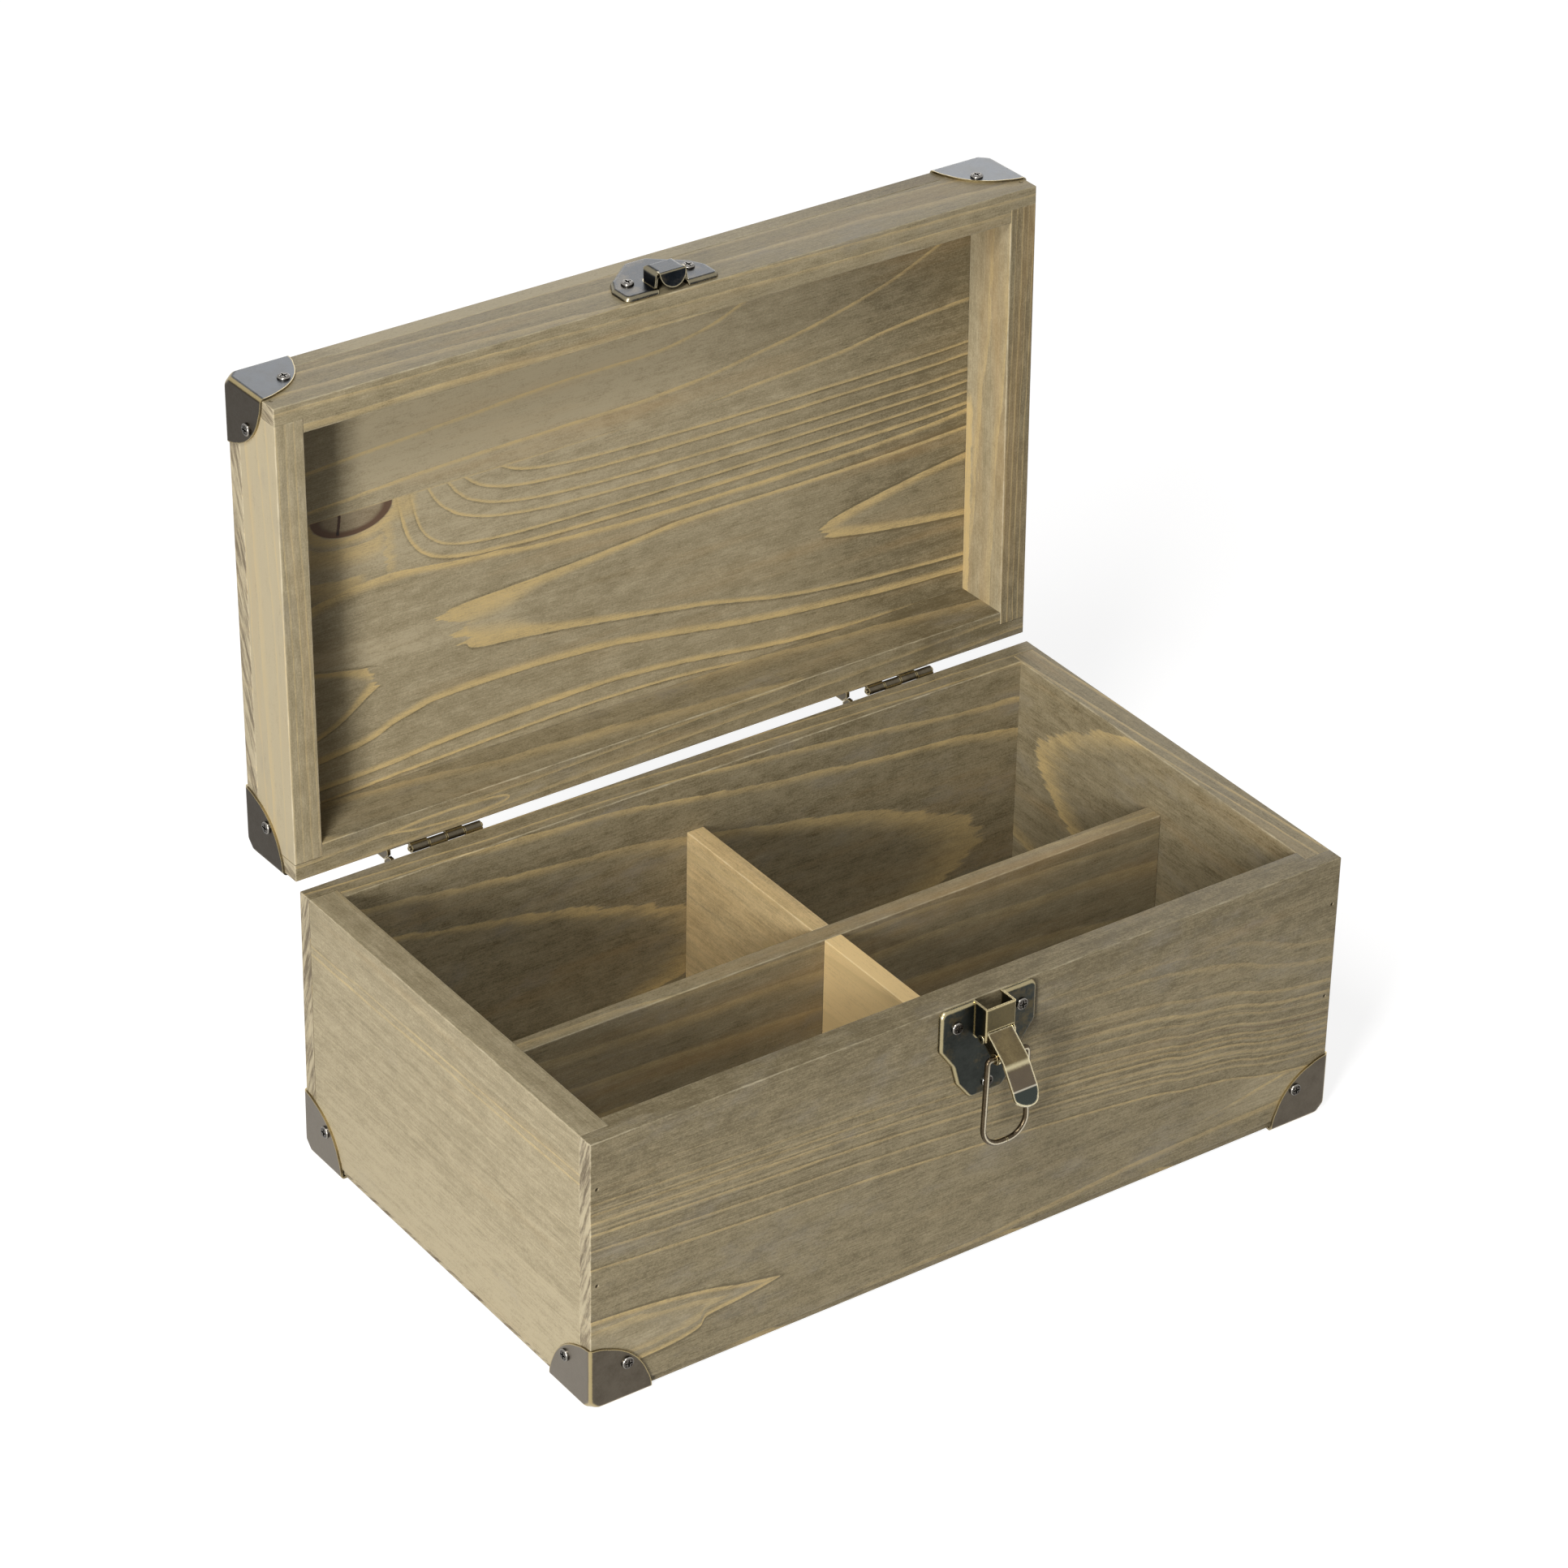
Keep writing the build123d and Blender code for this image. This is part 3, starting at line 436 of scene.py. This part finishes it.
def front_pattern(u, v, y):
    """Front board: an arch low at the left, one closing at the right, fine grain between and above."""
    d = y - node_box("front_board")[0][1]
    ripple = noise(u * 0.03, v * 0.25, d * 0.25, detail=3.0, roughness=0.6)
    drop = u.through([(-162, 0.0), (-100, 4.7), (-50, 7.7), (0, 12.0), (60, 18.5), (85, 22.0),
                      (95, 24.5), (110, 26.5), (120, 28.5), (130, 31.5), (146, 34.6), (162, 36.5)])
    share = v.through([(0, 1.0), (30, 1.0), (60, 0.95), (75, 0.8), (92, 0.5), (111, 0.3)])
    level = v + drop * share + d * 0.6 + ripple * 0.9
    fade = 0.80 + noise(u * 0.016, v * 0.08, d * 0.05) * 1.1

    # place, width and strength of each line; the second lot gathers towards the right
    lines = [(59.3, 1.3, 0.68), (67.2, 1.3, 0.55), (73.9, 1.4, 0.66), (78.6, 1.3, 0.55),
             (82.3, 1.2, 0.45), (86.4, 1.2, 0.38)]
    right_lines = [(64.4, 1.1, 0.45), (70.6, 1.4, 0.50), (76.2, 1.2, 0.50), (89.6, 1.8, 0.55),
                   (94.0, 1.5, 0.45), (101.0, 1.4, 0.35), (105.0, 1.2, 0.25)]
    seams = combined(*(seam_of(place - level) * strength for place, _, strength in lines))
    crowded = straight_lines(level, right_lines) * u.ramp(-40.0, 90.0)
    straight = combined(straight_lines(level, lines), crowded)
    streaks = noise(u * 0.003, level * 0.95, d * 0.1, detail=3.0, roughness=0.75)
    bundle = level.ramp(60.5, 63.0) * level.ramp(104.0, 88.0)
    fine = streaks.ramp(0.05, 0.22) * bundle * 0.40
    above = level.ramp(57.0, 57.4)

    left_rim, left_in = arch(
        u, v + ripple * 0.5,
        [(-162, 37.5), (-140, 35.8), (-120, 33.0), (-110, 31.0), (-100, 28.4), (-90, 26.6), (-83, 25.0),
         (-75, 20.0)],
        [(-162, 14.0), (-130, 14.3), (-121, 15.6), (-117, 17.0), (-114.5, 20.3), (-100, 22.0),
         (-90, 23.4), (-83, 25.0), (-75, 30.0)],
        2.4,
    )
    inner_rim = band(left_in + ripple * 5.0, 4.2, 3.0) * 0.40
    foot = u.through([(-60, 5.5), (-38, 6.0), (0, 5.6), (20, 7.0), (50, 9.0), (75, 11.0), (100, 11.8),
                      (140, 12.6), (162, 13.5)])
    foot_line = band(foot - v + ripple * 1.6, 0.0, 2.6) * u.ramp(-70.0, 10.0) * 0.55
    wedge = u.ramp(98.0, 138.0) * (v - foot).ramp(0.0, 2.0) * (59.3 - level).ramp(0.0, 1.5)
    wedge_line = band(u * 0.18 - v - 1.6 + ripple * 2.0, 0.0, 1.8) * wedge * 0.7
    late = combined(
        straight * fade, fine * above, left_rim * 0.85, inner_rim, foot_line * fade, wedge_line
    )
    seams = combined(seams * 0.7, seam_of(left_in))
    broad = left_in.ramp(0.0, 5.0) * 0.26 + wedge * 0.32 - v.ramp(70.0, 105.0) * 0.12
    # Painted light: the board's top face is made paler, as if lit from above.
    rim = v.ramp(111.0, 111.3)
    broad = broad + streaks * bundle * 0.9 - seams * 0.30 + rim * 0.25
    resin_line = band(81.8 - level + ripple * 1.4, 1.0, 0.9) * u.ramp(40.0, 150.0)
    return late, broad, resin_line * 0.5


def side_pattern(u, v, d):
    """Left side board: quiet straight grain with a few pale lines along it."""
    ripple = noise(u * 0.025 + 4.0, v * 0.3, d * 0.3, detail=3.0, roughness=0.6)
    slope = v + u * 0.02 + d * 0.4 + ripple * 2.4
    late = straight_lines(slope, [
        (77.0, 1.2, 0.55), (67.0, 1.6, 0.60), (52.7, 1.3, 0.50), (28.5, 1.0, 0.55), (25.0, 1.4, 0.60),
    ])
    streaks = noise(u * 0.004, slope * 0.8, d * 0.1, detail=3.0, roughness=0.75)
    fine = streaks.ramp(0.10, 0.28) * 0.30
    fade = 0.80 + noise(u * 0.02 + 3.0, v * 0.1, d * 0.05) * 1.3
    low_tone = v.ramp(60.0, 10.0) * 0.22 - v.ramp(85.0, 105.0) * 0.08 + streaks * 0.6
    return combined(late * fade, fine), low_tone, None


def left_stile_pattern(u, v, x):
    """Left stile of the lid: quiet straight grain, with painted light on the face that looks out to the
    left, towards the lamps.
    """
    late, broad, _ = sawn_rings(60.0, 40.0, 0.02, 3.2, seed=2.9, strength=0.5)(u, v, x)
    # Painted light: the face turned to the left, towards the lamps, is made paler.
    lit_left_face = (x - shut_box("lid_left_stile")[0][0]).ramp(1.0, 0.2)
    return late, broad + lit_left_face * 0.45, None


def right_stile_pattern(u, v, x):
    """Right stile of the lid: fine straight grain, a strip torn to bare wood beside the panel, and painted
    light on the face beside the panel, which faces the lamps.
    """
    late, broad, _ = sawn_rings(160.0, 20.0, 0.01, 2.6, seed=4.1, strength=0.7)(u, v, x)
    low, high = shut_box("lid_right_stile")
    tear = noise(u * 0.12, v * 0.4, x * 0.2, detail=5.0, roughness=0.8) * 5.0
    inner = (x - low[0]).ramp(1.0, 0.2)
    strip = (v + tear - (high[2] - 4.0)).ramp(0.0, 0.4) * inner * (u - tear * 3.0).ramp(-4.0, 4.0)
    # Painted light: the face beside the panel is made paler, as lit by the lamps; the torn strip along it
    # is real wear.
    return combined(late, strip * 0.95), broad + strip * 0.2 + inner * 0.48, None


def rear_rail_pattern(u, v, y):
    """Rear rail of the lid: straight grain, and one small arch at the left of its rim."""
    late, broad, _ = sawn_rings(90.0, 45.0, 0.03, 6.5, seed=8.8, strength=0.6)(u, v, y)
    low, high = shut_box("lid_rear_rail")
    ripple = noise(u * 0.05, v * 0.2, y * 0.4, detail=3.0) * 1.5
    middle = (low[1] + high[1]) / 2
    leaf, _ = arch(
        u, y - middle + ripple,
        [(-130, -1.0), (-120, 0.5), (-105, 2.6), (-85, 3.4), (-72, 0.5)],
        [(-130, 1.0), (-120, -1.5), (-105, -2.6), (-85, -2.2), (-72, 0.5)],
        1.6,
    )
    dark_end = u.ramp(95.0, 120.0) * 0.22
    return combined(late, leaf * 0.8), broad - dark_end, None


KNOT_PLACE = (-119.5, 125.2)
KNOT_RADII = (17.0, 9.2)
PANEL_JOINT = 125.2
KNOT_ARCS = [  # height far right of the knot, where it would stand upright, how wide it turns, line width
    (91.2, -102.5, 132.0, 2.0),
    (95.5, -97.5, 112.0, 1.4),
    (99.5, -98.0, 300.0, 1.5),
    (104.5, -90.0, 250.0, 1.5),
    (111.5, -84.0, 185.0, 1.6),
    (116.5, -70.5, 140.0, 1.5),
]


def panel_arches(u, v, ripple, teeth):
    """The panel's big arch, ragged at its left tip, and a smaller one at each side of it.

    Gives their latewood, the dark seams along it and the tone inside them.
    """
    big, big_in = arch(
        u, v + ripple * 0.9,
        [(-100, 74.0), (-87, 74.0), (-70, 75.2), (-40, 76.4), (0, 79.0), (29, 80.8), (80, 80.5),
         (151, 82.4)],
        [(-100, 60.0), (-80, 58.5), (-74, 58.0), (-72, 55.6), (-45, 52.5), (-10, 47.8), (0, 46.2),
         (29, 41.6), (80, 32.0), (151, 26.4)],
        u.through([(-100, 13.0), (-60, 11.0), (-40, 5.5), (-20, 4.0), (0, 3.2), (40, 2.6), (151, 2.4)]),
    )
    left, left_in = arch(
        u, v + ripple * 0.9,
        [(-151, 68.0), (-137, 65.5), (-120, 62.0), (-112, 60.5), (-106, 57.5), (-100, 50.0)],
        [(-151, 34.0), (-137, 38.0), (-127, 42.0), (-117, 48.5), (-108, 54.0), (-100, 60.0)],
        u.through([(-140, 3.0), (-125, 4.0), (-112, 9.0)]),
    )
    right, right_in = arch(
        u, v + ripple * 1.2,
        [(70, 54.0), (79, 56.5), (90, 61.0), (110, 65.0), (151, 71.0)],
        [(70, 57.0), (79, 55.5), (90, 52.5), (110, 49.0), (151, 44.0)],
        u.through([(80, 9.0), (100, 5.5), (151, 4.0)]),
    )
    late = combined(
        big * (u + 79.0 + teeth * 42.0).ramp(-0.8, 0.8),
        left * (-112.0 - u + teeth * 22.0).ramp(-0.6, 0.6),
        right * (u - 86.0 + teeth * 20.0).ramp(-0.8, 0.8),
    )
    seams = combined(
        seam_of(big_in) * u.ramp(-85.0, -70.0),
        seam_of(left_in) * u.ramp(-108.0, -114.0),
        seam_of(right_in) * u.ramp(80.0, 90.0),
    )
    tone = right_in.ramp(0.0, 6.0) * 0.14 + big_in.ramp(0.0, 4.0) * u.ramp(-40.0, -60.0) * 0.25
    return late, seams, tone


def panel_lines(u, v, ripple):
    """Lines under the panel's big arch and over it, and the dark seams along them."""
    low_lines = [
        ([(-151, 31.0), (-137, 32.0), (-120, 34.0), (-100, 40.0), (-80, 43.0), (-50, 43.2), (-10, 41.0),
          (0, 39.6), (80, 28.4), (151, 23.6)], 3.6),
        ([(-151, 19.2), (-137, 20.0), (-110, 21.2), (-80, 23.6), (-50, 24.8), (-20, 25.4), (0, 24.6),
          (80, 15.8), (151, 12.0)], 2.8),
        ([(-151, 12.8), (-137, 13.5), (-80, 16.0), (-30, 17.4), (0, 17.2), (80, 8.5), (151, 4.0)], 1.6),
    ]
    rises = [(v - u.through(line) - ripple * 1.3 + width, width) for line, width in low_lines]
    over = u.through([(-137, 92.0), (-128, 94.0), (-118, 95.4), (-104, 96.0), (-95, 95.2), (-80, 93.3),
                      (-60, 91.5), (-45, 89.8), (-20, 88.0), (0, 86.9), (60, 86.2), (109, 86.8),
                      (151, 89.4)])
    over_width = u.through([(-140, 5.0), (-105, 4.6), (-80, 3.0), (151, 2.4)])
    late = combined(
        *(band(rise, 0.0, width) for rise, width in rises), band(over - v + ripple * 1.2, 0.0, over_width)
    )
    return late, combined(*(seam_of(rise) for rise, _ in rises))


def knot_arcs(u, v, ripple):
    """Arcs that turn down out of the glue line right of the knot, and the dark seams along them."""
    lift = u.through([(-60, 0.0), (49, 0.0), (151, 1.6)])
    arcs, seams = [], []
    for height, upright, turn, width in KNOT_ARCS:
        across, up = (u - upright).higher(0.5), v - lift - height
        off = (across * up - turn) / (across * across + up * up).root()
        over_foot = off - ripple * 0.9 + width
        near = up.ramp(-10.0, -5.0)
        arcs.append(band(over_foot, 0.0, width) * near)
        seams.append(seam_of(over_foot) * near)
    arcs[0] = arcs[0] * 1.15
    return combined(*arcs), combined(*seams)


def cut_knot(u, v, ripple, jag):
    """The knot that the glue line cuts: the ragged rings about it, and its own brown."""
    dx = (u - KNOT_PLACE[0]) / KNOT_RADII[0]
    dy = (v - KNOT_PLACE[1]) / KNOT_RADII[1]
    knot = (dx * dx + dy * dy).root()
    ragged = knot + jag * 0.28 + ripple * 0.22
    patch_sides = (u + 99.5 + jag * 6.0).size().ramp(7.5, 4.5)
    rings = combined(
        band(ragged, 1.03, 0.45) * 0.85,
        (ragged.ramp(1.0, 1.1) * patch_sides * v.ramp(114.0, 121.0)) * 0.75,
        band(ragged, 1.55, 0.95) * u.ramp(-105.0, -109.0) * 0.70,
        band(u + 106.0 + jag * 9.0, 0.0, 5.0) * v.ramp(95.0, 99.0) * 0.55,
        band(ragged, 2.85, 0.9) * u.ramp(-113.0, -119.0) * 0.75,
    )
    dark_ring = knot.ramp(0.66, 0.84) * knot.ramp(1.03, 0.97)
    crack = (u + 124.9 - (v - 121.0) * 0.12 + jag * 0.8).size().ramp(0.75, 0.35) * knot.ramp(0.95, 0.85)
    return rings * v.ramp(90.0, 94.0), (0.38 + dark_ring * 0.55 + crack * 1.2) * knot.ramp(1.03, 0.97)


def upper_panel_lines(u, v, ripple):
    """Lines of the panel's second board, beyond the glue line."""
    lines = [
        [(-151, 144.5), (-137, 145.6), (-71, 149.6), (-31, 151.9), (9, 152.5), (29, 155.5), (47, 161.5),
         (70, 172.0)],
        [(-151, 129.6), (-137, 130.2), (-91, 132.6), (-31, 134.0), (9, 134.6), (59, 140.5), (103, 149.5),
         (129, 158.5), (151, 170.0)],
        [(-11, 124.0), (29, 124.8), (49, 126.8), (89, 129.6), (119, 133.5), (151, 136.0)],
    ]
    return combined(*(band(u.through(line) - v + ripple * 1.1, 0.0, 1.9) for line in lines))


def lid_panel_pattern(u, v, d):
    """Lid panel: two glued boards, a wide one with a plain-sawn arch and a knot cut by the glue line."""
    ripple = noise(u * 0.040, v * 0.33, d * 0.33, detail=3.0, roughness=0.62)
    teeth = noise(u * 0.004, v * 0.26 + 2.3, d * 0.2, roughness=0.6)
    jag = noise(u * 0.05, v * 0.55, d * 0.3, detail=3.0, roughness=0.7)
    below = v.ramp(PANEL_JOINT + 0.15, PANEL_JOINT - 0.15)
    above = v.ramp(PANEL_JOINT - 0.15, PANEL_JOINT + 0.15)

    arches, arch_seams, arch_tone = panel_arches(u, v, ripple, teeth)
    lines, line_seams = panel_lines(u, v, ripple)
    arcs, arc_seams = knot_arcs(u, v, ripple)
    knot_rings, knot_dark = cut_knot(u, v, ripple, jag)
    lower = combined(arches, lines, arcs * below * 0.82, knot_rings * below) * below
    glue_line = (v - PANEL_JOINT).size().ramp(0.45, 0.15) * u.ramp(10.0, -30.0) * 0.45
    upper = combined(upper_panel_lines(u, v, ripple) * above * 0.8, glue_line)
    late = combined(lower, upper) * (0.95 + noise(u * 0.03, v * 0.1, d * 0.1) * 0.7)

    upper_left = u.ramp(70.0, -20.0) * v.ramp(118.0, 138.0) * u.ramp(-132.0, -110.0)
    among_arcs = v.ramp(94.0, 104.0) * below * u.ramp(60.0, -50.0)
    broad = upper_left * 0.34 + among_arcs * 0.16 - u.ramp(50.0, 130.0) * 0.38 + arch_tone
    broad = broad - combined(arch_seams, line_seams, arc_seams * 0.9) * below * 0.34
    knot_dark = knot_dark * below
    return late * (1.0 - knot_dark.higher(0.0).lower(1.0)), broad, knot_dark


BOX_BOARDS = {
    "front_board": ("xzy", front_pattern, dict(tone=0.37, warmth=0.12, haze=0.40, seed=0.0)),
    "rear_board": ("xzy", sawn_rings(40.0, 55.0, 0.05, 6.0, seed=3.1), dict(tone=0.40, seed=3.1)),
    "left_side_board": ("yzx", side_pattern, dict(tone=0.72, warmth=0.12, haze=0.30, seed=7.7)),
    "right_side_board": ("yzx", sawn_rings(75.0, 60.0, 0.06, 6.5, seed=5.2), dict(tone=0.45, seed=5.2)),
    "bottom_panel": ("xyz", sawn_rings(20.0, 30.0, 0.08, 7.0, seed=1.4), dict(tone=0.35, seed=1.4)),
    "long_divider": (
        "xzy",
        sawn_rings(42.0, 35.0, 0.03, 9.0, seed=9.3, strength=0.5),
        dict(tone=0.52, warmth=0.30, seed=9.3),
    ),
    # The front short divider is left bare and pale; part of its paleness is painted light, lifting a face
    # that lies in shade.
    "front_short_divider": (
        "yzx",
        sawn_rings(10.0, 90.0, 0.05, 14.0, seed=2.2, strength=0.5),
        dict(tone=0.80, warmth=0.50, haze=0.0, seed=2.2, bare=1.0),
    ),
    "rear_short_divider": (
        "yzx",
        sawn_rings(60.0, 50.0, 0.05, 8.0, seed=4.6, strength=0.6),
        dict(tone=0.70, warmth=0.50, haze=0.0, seed=4.6, bare=0.45),
    ),
}
LID_BOARDS = {
    "lid_front_rail": (
        "xzy",
        sawn_rings(95.0, 30.0, 0.02, 5.5, seed=6.1, strength=0.6),
        dict(tone=0.5, seed=6.1),
    ),
    "lid_rear_rail": ("xzy", rear_rail_pattern, dict(tone=0.4, seed=8.8)),
    "lid_left_stile": ("yzx", left_stile_pattern, dict(tone=0.64, seed=2.9)),
    "lid_right_stile": ("yzx", right_stile_pattern, dict(tone=0.26, warmth=0.35, haze=0.1, seed=4.1)),
}


def wear(node_name, material):
    """Give a CAD node its finish."""
    for slot in frame["nodes"][node_name].material_slots:
        slot.material = material


def dress_boards():
    for name, (grain, pattern, look) in BOX_BOARDS.items():
        wear(name, stained_pine(f"pine_{name}", *node_box(name), False, grain, pattern, **look))
    for name, (grain, pattern, look) in LID_BOARDS.items():
        wear(name, stained_pine(f"pine_{name}", *shut_box(name), True, grain, pattern, **look))


def dress_lid_panel():
    name = "lid_top_panel"
    low, high = shut_box(name)
    rear, inner_face = high[1], low[2]

    def pattern(u, y, z):
        return lid_panel_pattern(u, rear - y, z - inner_face)

    look = dict(tone=0.64, warmth=0.22, haze=0.24, seed=0.6)
    wear(name, stained_pine("pine_lid_top_panel", low, high, True, "xyz", pattern, **look))


# ---------------------------------------------------------------- antique metal
RUBBED_GOLD = (186, 168, 122)
RUBBED_BRASS = (206, 190, 146)
# The lever's colours and the wire's bright colour below are painted highlights and shade.
LEVER_SHADE = (96, 86, 74)
LEVER_HIGHLIGHT = (224, 212, 172)
CREASE_HIGHLIGHT = (206, 200, 182)
TIP_SHADE = (60, 65, 61)
BRIDGE_BROWN = (94, 84, 58)
WIRE_HIGHLIGHT = (226, 216, 190)


def edge_mark(tree, radius):
    """1 on a convex or concave edge and 0 on a flat, by how far the rounded normal turns."""
    bevel = tree.nodes.new("ShaderNodeBevel")
    bevel.samples = 6
    bevel.inputs["Radius"].default_value = radius * MM
    plain = tree.nodes.new("ShaderNodeNewGeometry")
    dot = tree.nodes.new("ShaderNodeVectorMath")
    dot.operation = "DOT_PRODUCT"
    tree.links.new(bevel.outputs[0], dot.inputs[0])
    tree.links.new(plain.outputs["Normal"], dot.inputs[1])
    return 1.0 - Field(tree, dot.outputs["Value"])


def antique_metal(
    name, flat, dark, worn, roughness=0.38, edge=0.8, mottle=0.6, fold=0.0, width=0.9,
    patina=None, side=None, tint=None, seed=0.0, on_lid=False
):
    """Plated steel, mottled from flat to dark, and rubbed to worn along its edges.

    edge and fold say how strongly the edges and the rounded folds are rubbed pale (on the folds partly
    real wear and partly a painted highlight), and width is the edges' breadth. patina is a colour in
    patches, side is painted light and shade on faces turned to the left, and tint adds painted highlights
    and shade on the lever and the wire, and a browner bridge on the latch plate.
    """
    material, tree, shader = new_material(name)
    (x, y, z), facings = position(tree, on_lid)
    cloud = noise(x * 0.16 + seed, y * 0.16, z * 0.16, detail=4.0, roughness=0.6)
    grit = noise(x * 1.3, y * 1.3 + seed, z * 1.3, detail=4.0, roughness=0.65)
    scratch = noise(x * 0.6 + seed, y * 4.0, z * 4.0)
    level = (cloud * 1.8 * mottle + grit * 0.6 + 0.62).ramp(0.0, 1.0)
    colour = paint(tree, level, linear(dark), linear(flat))
    if patina:
        spread = noise(x * 0.10, y * 0.10 + seed, z * 0.10, detail=5.0, roughness=0.7)
        colour = paint(tree, (spread + 0.02 + grit * 0.2).ramp(0.0, 0.22) * 0.8, colour, linear(patina))
    # Painted light and shade: faces turned to the left get the side colour.
    if side:
        colour = paint(tree, (facings[0] * -1.0).ramp(0.5, 0.9), colour, linear(side))
    if tint:
        colour = tint(tree, colour, (x, y, z), facings, grit)
    turned = edge_mark(tree, width)
    rub = ((turned - 0.02) / 0.10 + grit * 0.4 + cloud * 0.4).ramp(0.05, 0.75)
    rub = rub * turned.ramp(0.03, 0.06)
    # On the rounded folds and the screw heads' rims the pale rub is partly real wear and partly a painted
    # highlight.
    if fold:
        squareness = facings[0].size().higher(facings[1].size()).higher(facings[2].size())
        rub = rub.higher(((1.0 - squareness) + grit * 0.06 + cloud * 0.05).ramp(0.02, 0.16) * fold)
    colour = paint(tree, rub * edge, colour, linear(worn))
    tree.links.new(colour, shader.inputs["Base Color"])
    shader.inputs["Metallic"].default_value = 1.0
    feed(tree, shader.inputs["Roughness"], roughness + grit * 0.22 + cloud * 0.15 - rub * 0.08)
    bump = tree.nodes.new("ShaderNodeBump")
    bump.inputs["Strength"].default_value = 0.35
    bump.inputs["Distance"].default_value = 0.05 * MM
    feed(tree, bump.inputs["Height"], grit * 0.8 + scratch * 0.35)
    tree.links.new(bump.outputs[0], shader.inputs["Normal"])
    return material


def lever_highlight_and_shade(tree, colour, place, facings, grit):
    """Latch lever: a painted highlight over its ridge and along its tip's crease, painted shade below the
    ridge, and darker painted shade beyond the crease.
    """
    low, high = node_box("latch_lever")
    height = (place[2] - low[2]) / (high[2] - low[2])
    ridge = (height - 0.58 + grit * 0.03).size().ramp(0.06, 0.0)
    crease = (height - 0.240).size().ramp(0.018, 0.006)
    # Painted shade below the ridge, painted highlights over the ridge and the crease, and darker painted
    # shade on the tip.
    colour = paint(tree, height.ramp(0.62, 0.48) * 0.8, colour, linear(LEVER_SHADE))
    colour = paint(tree, ridge * 0.65, colour, linear(LEVER_HIGHLIGHT))
    colour = paint(tree, crease * 0.7, colour, linear(CREASE_HIGHLIGHT))
    return paint(tree, height.ramp(0.235, 0.215), colour, linear(TIP_SHADE))


def plate_tint(tree, colour, place, facings, grit):
    """Latch plate: browner over the bridge that stands out of it."""
    low, high = node_box("latch_plate")
    out = (place[1] - low[1]).ramp(3.0, 0.5) * (grit * 0.8 + 0.75)
    return paint(tree, out, colour, linear(BRIDGE_BROWN))


def wire_highlight(tree, colour, place, facings, grit):
    """Wire loop: a painted highlight along the side that faces away from the case."""
    # Painted highlight along the wire where it faces away from the case.
    away_highlight = (facings[1] * -1.0 + grit * 0.08).ramp(0.93, 1.0)
    return paint(tree, away_highlight * 0.65, colour, linear(WIRE_HIGHLIGHT))


def dress_metal():
    # Painted light: the case brackets' left-facing faces are made paler.
    bracket = antique_metal(
        "bronze_bracket", (92, 85, 74), (70, 63, 53), RUBBED_GOLD, fold=0.9, side=(110, 103, 92), seed=1.0
    )
    # The lid's brackets are the same plated metal as the case's; their grey flat is a painted reflection
    # on faces that look up on the open lid, and their brown left faces are painted shade.
    lid_bracket = antique_metal(
        "steel_bracket", (84, 87, 91), (54, 53, 50), RUBBED_GOLD, fold=0.9, side=(46, 37, 20), seed=1.5,
        on_lid=True,
    )
    latch = antique_metal(
        "bronze_latch", (55, 58, 54), (30, 32, 30), RUBBED_BRASS, roughness=0.34, fold=0.7, width=1.2,
        patina=(84, 74, 52), tint=plate_tint, seed=2.0,
    )
    lever = antique_metal(
        "brass_lever", (122, 108, 78), (74, 64, 46), (240, 228, 190), roughness=0.26, edge=1.0,
        width=1.2, patina=(90, 80, 64), tint=lever_highlight_and_shade, seed=3.0,
    )
    wire = antique_metal(
        "bronze_wire", (92, 80, 62), (46, 40, 32), RUBBED_BRASS, roughness=0.26, tint=wire_highlight, seed=3.5
    )
    catch = antique_metal(
        "steel_catch", (30, 34, 39), (18, 20, 22), (190, 178, 146), roughness=0.30, fold=0.5,
        mottle=1.0, patina=(64, 58, 48), seed=4.0, on_lid=True,
    )
    hinge_leaf = antique_metal("bronze_hinge", (104, 96, 80), (58, 52, 44), RUBBED_GOLD, seed=5.0)
    screw = antique_metal(
        "steel_screw", (66, 60, 55), (24, 22, 20), (172, 168, 160), roughness=0.30, edge=0.7, fold=0.8,
        width=0.4, seed=6.0,
    )
    brad = antique_metal("steel_brad", (64, 60, 54), (32, 30, 28), (110, 104, 92), seed=7.0)
    for name in frame["nodes"]:
        if name.startswith("lid_bracket_") and not name.endswith("screws"):
            wear(name, lid_bracket)
        elif name.startswith("bracket_"):
            wear(name, bracket)
        elif name.endswith("_screws"):
            wear(name, screw)
        elif name.endswith("brads"):
            wear(name, brad)
        elif "hinge" in name:
            wear(name, hinge_leaf)
    wear("latch_plate", latch)
    wear("latch_pivot_pin", lever)
    wear("latch_lever", lever)
    wear("latch_loop_rivet", wire)
    wear("latch_wire_loop", wire)
    wear("lid_catch", catch)


bpy.context.scene.view_settings.view_transform = "Standard"
add_camera()
add_world()
add_floor()
for lamp_name, settings in LAMPS.items():
    add_lamp(lamp_name, *settings)
dress_boards()
dress_lid_panel()
dress_metal()
